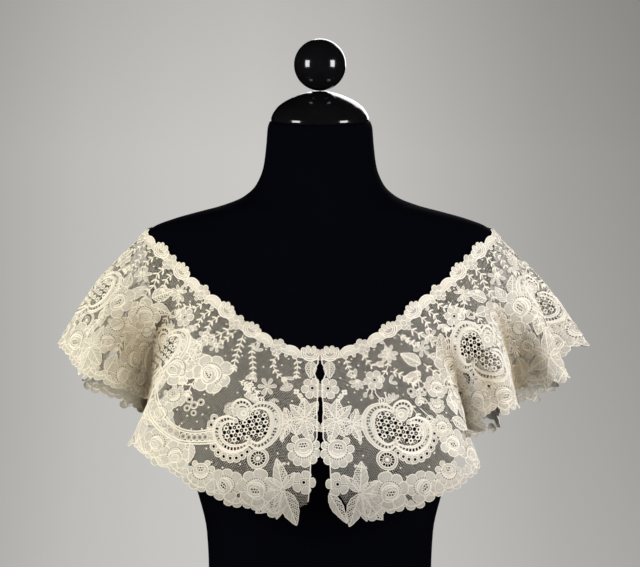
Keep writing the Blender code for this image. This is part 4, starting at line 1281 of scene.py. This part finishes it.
def lay_line(work, along, down, width, rise):
    """A round thread through places on the lace; its ring is square to the line on the cloth."""
    cloth = work.cloth
    path = cloth.place(along, down, np.full_like(down, LINE_LIFT)) * [cloth.side, 1, 1]
    normal = cloth.read(cloth.normals, along, down)
    way = np.gradient(path, axis=0)
    way /= np.linalg.norm(way, axis=1)[:, None]
    across = np.cross(way, normal) * width / 2
    ring = [across + normal * rise / 2, normal * rise, -across + normal * rise / 2, normal * 0]
    points = np.stack([path + r for r in ring], axis=1) * [cloth.side, 1, 1]
    i, j = np.arange(len(path) - 1)[:, None] * 4, np.arange(4)[None]
    quads = np.stack([i + j, i + (j + 1) % 4, i + 4 + (j + 1) % 4, i + 4 + j], axis=-1).reshape(-1, 4)
    count = len(path) * 4
    painted_fold_shade = np.repeat(cloth.read(cloth.painted_fold_shade, along, down), 4)
    work.keep("thread", points.reshape(-1, 3), (quads, NO_TRIANGLES), np.full(count, 1.06),
              np.zeros((count, 2)), np.zeros(count), painted_fold_shade)


def lay_dots(work):
    """Small dots over the bare net, on a staggered grid, wherever no motif is."""
    for row, down in enumerate(np.arange(12, 168, DOT_SPACING[1])):
        step = DOT_SPACING[0] / work.cloth.read(work.cloth.wide, np.float64(60.0), down)
        for along in np.arange(6 + row % 2 * step / 2, NECK_LENGTH - 4, step):
            if work.free(along, down, 1.4):
                work.lay(work.book["dot"].pieces, along, down)


def lay_border(border):
    """The neck border: a lobed strip under shells, scrolls and sprays, and a thread along its foot."""
    total = sum(width for _, width in BORDER_ROW) * REPEATS
    at = 0.0
    for k in range(REPEATS):
        for name, width in BORDER_ROW:
            share = width / total * NECK_LENGTH
            middle = min(max(at + share / 2, BORDER_END), NECK_LENGTH - BORDER_END)
            size, flip = 0.92 if name == "shell" else 0.98, 1 if (k + len(name)) % 2 else -1
            border.lay(moved(border.book[name].pieces, size=size, flip=flip), middle, 2.4, 0.55)
            at += share
    along = np.linspace(0.4, NECK_LENGTH - 0.4, 400)
    down, height, inset = np.array(BORDER_STRIP).T
    s, d = np.meshgrid(along, down, indexing="ij")
    border.keep("toile", border.cloth.place(s, d, np.tile(height, (400, 1))).reshape(-1, 3),
                (grid_faces(400, 4), NO_TRIANGLES), np.full(1600, 0.92),
                np.stack([s, d], axis=-1).reshape(-1, 2), np.tile(inset, 400), np.zeros(1600))
    lay_line(border, along, np.full_like(along, down[-1]), 1.2, 1.5)


# Finishes


def worked(operation, turned_round=False):
    """A method that works an operation on a value and others, with the others first if turned round."""
    def method(self, *others):
        values = (*others, self) if turned_round else (self, *others)
        node = self.finish.node("ShaderNodeMath", {"operation": operation}, dict(enumerate(values)))
        return Value(self.finish, node.outputs[0])
    return method


class Value:
    """A number in a material, so that its sums read as sums."""

    def __init__(self, finish, socket):
        self.finish, self.socket = finish, socket

    __add__ = __radd__ = worked("ADD")
    __mul__ = __rmul__ = worked("MULTIPLY")
    __sub__, __rsub__ = worked("SUBTRACT"), worked("SUBTRACT", turned_round=True)
    __truediv__, __lt__, __gt__ = worked("DIVIDE"), worked("LESS_THAN"), worked("GREATER_THAN")
    abs, part, floor = worked("ABSOLUTE"), worked("FRACT"), worked("FLOOR")
    root, sine = worked("SQRT"), worked("SINE")
    least, most = worked("MINIMUM"), worked("MAXIMUM")

    def held(self):
        """Held from 0 to 1."""
        return self.least(1.0).most(0.0)

    def wave(self):
        """A sine from 0 to 1."""
        return self.sine() * 0.5 + 0.5


class Finish:
    """A procedural material around one Principled shader."""

    def __init__(self, name, **constants):
        self.material = bpy.data.materials.new(name)
        self.material.use_nodes = True
        self.tree = self.material.node_tree
        self.shader = self.tree.nodes["Principled BSDF"]
        for socket, value in constants.items():
            self.shader.inputs[socket.replace("_", " ").title().replace("Ior", "IOR")].default_value = value

    def node(self, kind, settings=None, values=None):
        """A node of a type, with its settings and then the values or links of its sockets."""
        made = self.tree.nodes.new(kind)
        for name, setting in (settings or {}).items():
            setattr(made, name, setting)
        for name, value in (values or {}).items():
            self.set(made.inputs[name], value)
        return made

    def set(self, socket, value):
        """Links a socket to a value, or gives it a plain number or colour."""
        if isinstance(value, Value):
            value = value.socket
        if isinstance(value, bpy.types.NodeSocket):
            self.tree.links.new(value, socket)
        else:
            socket.default_value = value

    def give(self, socket, value):
        self.set(self.shader.inputs[socket], value)

    def attribute(self, name):
        return Value(self, self.node("ShaderNodeAttribute", {"attribute_name": name}).outputs["Fac"])

    def split(self, place):
        """The three numbers of a place as values."""
        node = self.node("ShaderNodeSeparateXYZ", None, {0: place})
        return [Value(self, output) for output in node.outputs]

    def map(self, name):
        """A map's two coordinates as values."""
        return self.split(self.node("ShaderNodeUVMap", {"uv_map": name}).outputs[0])[:2]

    def object_place(self):
        return self.node("ShaderNodeTexCoord").outputs["Object"]

    def noise(self, place, scale, detail):
        values = {"Vector": place, "Scale": scale, "Detail": detail, "Roughness": 0.55}
        return Value(self, self.node("ShaderNodeTexNoise", None, values).outputs["Fac"])

    def mix(self, share, first, second):
        """A colour between two, by a share."""
        return self.node("ShaderNodeMix", {"data_type": "RGBA"}, {0: share, 6: first, 7: second}).outputs[2]

    def vector_sum(self, operation, values):
        return self.node("ShaderNodeVectorMath", {"operation": operation}, values).outputs

    def vector(self, operation, *values):
        """The vector that an operation works out."""
        return self.vector_sum(operation, dict(enumerate(values)))[0]

    def measured(self, operation, *values):
        """The number that an operation on vectors works out."""
        return Value(self, self.vector_sum(operation, dict(enumerate(values)))["Value"])

    def scaled(self, colour, value):
        """A colour or vector times a value."""
        return self.vector_sum("SCALE", {0: colour, "Scale": value})[0]

    def bump(self, height, distance, strength):
        values = {"Height": height, "Distance": distance, "Strength": strength}
        self.give("Normal", self.node("ShaderNodeBump", None, values).outputs[0])


IVORY = (0.800, 0.752, 0.665, 1)
CREAM = (0.775, 0.685, 0.565, 1)
YELLOWED = (0.770, 0.700, 0.500, 1)
PAINTED_SHADE_BROWN = (0.365, 0.285, 0.165, 1)
CLOTH_LOOK = {"roughness": 0.82, "sheen_weight": 0.15, "sheen_roughness": 0.5}
CORD_LOOK = {"sheen_weight": 0.2, "sheen_roughness": 0.45}


def give_linen(finish, tone):
    """Old linen: ivory, with cream clouds a few centimetres wide and fine uneven threads, a little
    yellower on the left, browner with painted shade where a fold lies deep, duller at the front, and
    darker with painted shade along its low hem."""
    place = finish.object_place()
    across, _, height = finish.split(place)
    clouds, fine = finish.noise(place, 16.0, 2.0), finish.noise(place, 900.0, 2.0)
    left = (0.1 - across * 4.5).held()
    colour = finish.mix((clouds - 0.38) * 1.5, IVORY, CREAM)
    colour = finish.mix(left * 0.6, colour, YELLOWED)
    # painted shade: browner where the folds lie deep and in the pools of shade
    colour = finish.mix(finish.attribute("painted_fold_shade") * 0.85, colour, PAINTED_SHADE_BROWN)
    # painted shade: darker along the low hem, where the light falls off; darker towards the front centre
    low = ((0.312 - height) / 0.05).held()
    front = (1.0 - across.abs() / 0.115).most(0.0).least(0.6)
    tone = (0.97 - low * 0.35 - front * 0.20) * tone
    finish.give("Base Color", finish.scaled(colour, (fine * 0.22 + 0.89) * tone))


def toile_finish(name):
    """Close cloth stitch: fine ribs, a painted shade under each outline, and specks of gap between threads."""
    finish = Finish(name, **CLOTH_LOOK)
    x, y = finish.map("weave")
    ribs, rows = (x * 6.2).wave(), (y * 6.2).wave()
    column = x / 1.25
    gap = (column.part() < 0.30) * ((y / 1.25 + column.floor() * 0.5).part() < 0.34)
    # painted shade: the close work is darker near its outline, under the outline thread
    under = (finish.attribute("inset") / 1.1).least(1.0)
    shade = (0.50 + under * 0.22) * (1.0 - gap * 0.36) * (0.94 + ribs * rows * 0.08)
    give_linen(finish, finish.attribute("tone") * shade)
    finish.bump(ribs * 0.5 + rows * 0.5 - gap, 0.0003, 0.7)
    return finish.material


def holed_finish(name, pitch, share):
    """Open work: rows of round holes through the cloth, staggered, with a closed rim."""
    finish = Finish(name, roughness=0.82)
    x, y = finish.map("weave")
    row = y / pitch
    across, down = (x / pitch + row.floor() * 0.5).part() - 0.5, row.part() - 0.5
    away = (across * across + down * down).root()
    hole = (away < share) * (finish.attribute("inset") > 0.5)
    give_linen(finish, finish.attribute("tone") * (0.74 + (away > 0.42) * 0.12))
    finish.give("Alpha", 1.0 - hole)
    finish.bump(away, 0.0004, 0.6)
    return finish.material


def slotted_finish(name):
    """Close work with a row of slots round the middle of the band."""
    finish = Finish(name, **CLOTH_LOOK)
    way, across = finish.map("weave")
    slot = ((way / SLOT_PITCH).part() < 0.60) * (across.abs() < 1.5)
    ribs = (way * 4.8).wave()
    give_linen(finish, finish.attribute("tone") * (0.76 + ribs * 0.08))
    finish.give("Alpha", 1.0 - slot)
    finish.bump(ribs, 0.0003, 0.6)
    return finish.material


def pinned_finish(name):
    """Close work with a row of dark pinholes."""
    finish = Finish(name, **CLOTH_LOOK)
    way, across = finish.map("weave")
    along = ((way / PINHOLE_PITCH).part() - 0.5) * PINHOLE_PITCH
    hole = (across * across + along * along).root() < PINHOLE_RADIUS
    give_linen(finish, finish.attribute("tone") * (0.84 - hole * 0.66))
    finish.bump(0.0 - hole, 0.0005, 0.8)
    return finish.material


def thread_finish(name, tone=1.0):
    """Outline thread: twisted strands along it."""
    finish = Finish(name, roughness=0.75, **CORD_LOOK)
    way, across = finish.map("weave")
    twist = ((way + across * 0.4) * 4.5).wave()
    give_linen(finish, finish.attribute("tone") * (tone * 0.96 + twist * 0.07))
    finish.bump(twist, 0.0003, 0.5)
    return finish.material


def border_finish(name):
    """Close work of the neck border: stout ribs, and a painted shade under each outline."""
    finish = Finish(name, roughness=0.8, **CORD_LOOK)
    ribs = (finish.map("weave")[0] * 6.0).wave()
    # painted shade: the close work is darker near its outline, under the outline thread
    under = (finish.attribute("inset") / 1.4).least(1.0)
    give_linen(finish, finish.attribute("tone") * (0.60 + under * 0.30) * (0.97 + ribs * 0.06))
    finish.bump(ribs, 0.0003, 0.6)
    return finish.material


def net_finish(name):
    """Six-sided net: the nearer of two lattices of middles gives the cell, and the thread is its edge."""
    finish = Finish(name, roughness=0.85)
    uv = finish.node("ShaderNodeUVMap", {"uv_map": "flat"}).outputs[0]
    cell, half = (1.0, ROOT, 1.0), (0.5, ROOT / 2, 0.0)
    at = finish.vector("ADD", finish.scaled(uv, 1 / NET_PITCH), (100.0, 100.0 * ROOT, 0.0))
    first = finish.vector("SUBTRACT", finish.vector("MODULO", at, cell), half)
    shifted = finish.vector("MODULO", finish.vector("SUBTRACT", at, half), cell)
    second = finish.vector("SUBTRACT", shifted, half)
    nearer = finish.measured("LENGTH", first) < finish.measured("LENGTH", second)
    pick = finish.node("ShaderNodeMix", {"data_type": "VECTOR"}, {0: nearer, 4: second, 5: first})
    offset = finish.vector("ABSOLUTE", pick.outputs[1])
    edge = 0.5 - finish.measured("DOT_PRODUCT", offset, half).most(finish.split(offset)[0])
    worn = finish.noise(finish.object_place(), 330.0, 2.0) * 0.11
    give_linen(finish, 0.84)
    finish.give("Alpha", edge < worn + (NET_THREAD / 2 / NET_PITCH - 0.045))
    return finish.material


def jersey_finish():
    """Black jersey: fine ribs of knit by height, and a faint dusty bloom."""
    finish = Finish("black_jersey", roughness=0.9, specular_ior_level=0.02)
    place = finish.object_place()
    across, _, height = finish.split(place)
    rows, stitches = (height * 4200.0).wave(), (across * 3600.0).wave()
    dust = finish.noise(place, 9.0, 3.0)
    dark, light = (0.0003, 0.0004, 0.0012, 1), (0.0015, 0.0017, 0.0040, 1)
    finish.give("Base Color", finish.mix(dust * 0.6 + rows * stitches * 0.25, dark, light))
    finish.bump(rows * 0.6 + stitches * 0.4, 0.0002, 0.35)
    return finish.material


def lacquer_finish():
    """Black lacquer on turned wood, with a very slight ripple and fine wear in the gloss."""
    finish = Finish("black_lacquer", specular_ior_level=0.5, coat_roughness=0.06)
    place = finish.object_place()
    wear, ripple = finish.noise(place, 70.0, 4.0), finish.noise(place, 22.0, 2.0)
    finish.give("Base Color", finish.mix(wear, (0.002, 0.002, 0.0025, 1), (0.005, 0.0045, 0.005, 1)))
    finish.give("Roughness", 0.09 + wear * 0.07)
    finish.give("Coat Weight", 0.12 + wear * 0.08)
    finish.bump(ripple, 0.0006, 0.25)
    return finish.material


# Room


def area_light(name, place, size, power, glossy=True):
    """A rectangular light that looks at the collar's middle."""
    data = bpy.data.lights.new(name, "AREA")
    data.shape = "RECTANGLE"
    data.size, data.size_y = size
    data.energy = power
    made = bpy.data.objects.new(name, data)
    made.location = place
    made.rotation_euler = (LIT_PLACE - Vector(place)).to_track_quat("-Z", "Y").to_euler()
    made.visible_camera = False
    made.visible_glossy = glossy
    bpy.context.scene.collection.objects.link(made)


def grey(level):
    """Linear value of a grey on a screen's scale of 255."""
    return ((level / 255 + 0.055) / 1.055) ** 2.4


def make_room():
    """A pale round floor, and a round backdrop about the whole room that glows with painted light:
    brighter left of the middle and at the lower right, and a little darker towards the top."""
    share, height = np.array(BACKDROP).T
    finish = Finish("painted_light_backdrop", roughness=1.0, base_color=(0, 0, 0, 1), specular_ior_level=0.0,
                    emission_strength=1.0)
    across, _, up = finish.split(finish.object_place())
    # painted light: the glowing backdrop's greys, dimmed at the top and brighter at the lower right
    paper = finish.node("ShaderNodeValToRGB", None, {0: across / (2 * ROOM_SPAN) + 0.5})
    while len(paper.color_ramp.elements) < len(ROOM_STOPS):
        paper.color_ramp.elements.new(0.5)
    for stop, (at, level) in zip(paper.color_ramp.elements, ROOM_STOPS):
        stop.position, stop.color = at, (grey(level + 1), grey(level), grey(level - 3), 1)
    painted_top_dimming = ((up - 1.0) / 0.7).held()
    right, low = (across / ROOM_SPAN).held(), ((1.1 - up) / 1.7).held()
    level = (1.0 - painted_top_dimming * 0.17) * (1.0 + right * low * 0.31)
    finish.give("Emission Color", finish.scaled(paper.outputs[0], level))
    points = turned_about(share * ROOM_RADIUS, height, ROOM_SIDES).reshape(-1, 3)
    backdrop = add_mesh("backdrop", points, grid_faces(ROOM_SIDES, len(height), closed=True), NO_TRIANGLES,
                        finish.material)
    ground = Finish("floor_paper", roughness=0.9, specular_ior_level=0.1)
    shade = ground.noise(ground.object_place(), 0.8, 2.0)
    ground.give("Base Color", ground.mix(shade, (0.50, 0.50, 0.49, 1), (0.56, 0.56, 0.55, 1)))
    points = turned_about(np.array([0.02, 0.2, 0.6, 1.0]) * FLOOR_RADIUS, np.full(4, FLOOR_LEVEL), ROOM_SIDES)
    first = np.arange(ROOM_SIDES) * 4
    fan = np.stack([first, np.roll(first, -1), np.full(ROOM_SIDES, 4 * ROOM_SIDES)], axis=1)
    floor = add_mesh("floor", np.concatenate([points.reshape(-1, 3), [[0, 0, FLOOR_LEVEL]]]),
                     grid_faces(ROOM_SIDES, 4, closed=True), fan, ground.material)
    backdrop.visible_glossy = floor.visible_glossy = False


def make_camera():
    data = bpy.data.cameras.new("camera")
    data.lens, data.sensor_width = LENS, 36
    data.clip_start, data.clip_end = 0.05, 60
    camera = bpy.data.objects.new("camera", data)
    camera.location = CAMERA_AT
    camera.rotation_euler = (math.pi / 2, 0, 0)
    bpy.context.scene.collection.objects.link(camera)
    bpy.context.scene.camera = camera


def make_lights():
    area_light("left softbox", (-1.80, -1.15, 0.80), (0.75, 0.95), 36)
    area_light("right softbox", (1.80, -1.15, 0.80), (0.75, 0.95), 37)
    area_light("back fill", (0.6, 2.6, 1.6), (1.6, 1.6), 26)
    area_light("low fill", (0, -1.9, -0.35), (2.6, 0.7), 13, glossy=False)
    area_light("front fill", (0, -3.2, 0.75), (1.2, 0.8), 16, glossy=False)
    world = bpy.data.worlds.new("dark room")
    world.use_nodes = True
    world.node_tree.nodes["Background"].inputs[0].default_value = (0, 0, 0, 1)
    bpy.context.scene.world = world


def main():
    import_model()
    scene = bpy.context.scene
    scene.view_settings.view_transform = "Standard"
    scene.cycles.transparent_max_bounces = 24
    make_camera()
    make_lights()
    make_room()
    form = dress_form(jersey_finish())
    cap, ball = cap_and_ball(lacquer_finish())
    for piece, node, slot in ((form, "dress_form", "jersey"), (cap, "neck_cap", "lacquer"),
                              (ball, "finial_ball", "lacquer")):
        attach(piece, "root")
        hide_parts(node)
    finishes = {
        "net": net_finish("net_ground"),
        "toile": toile_finish("close_work"),
        "gauze": holed_finish("open_work", 2.3, 0.36),
        "heart": holed_finish("rose_heart", 2.7, 0.36),
        "pinned": pinned_finish("pinhole_work"),
        "slotted": slotted_finish("slotted_work"),
        "thread": thread_finish("outline_thread"),
        "border": border_finish("border_work"),
        "border thread": thread_finish("border_thread", 1.04),
    }
    book = motif_book()
    make_half("right", 1, RIGHT_HEM, RIGHT_FRONT, RIGHT_VINES, book, finishes)
    make_half("left", -1, LEFT_HEM, LEFT_FRONT, LEFT_VINES, book, finishes)


main()
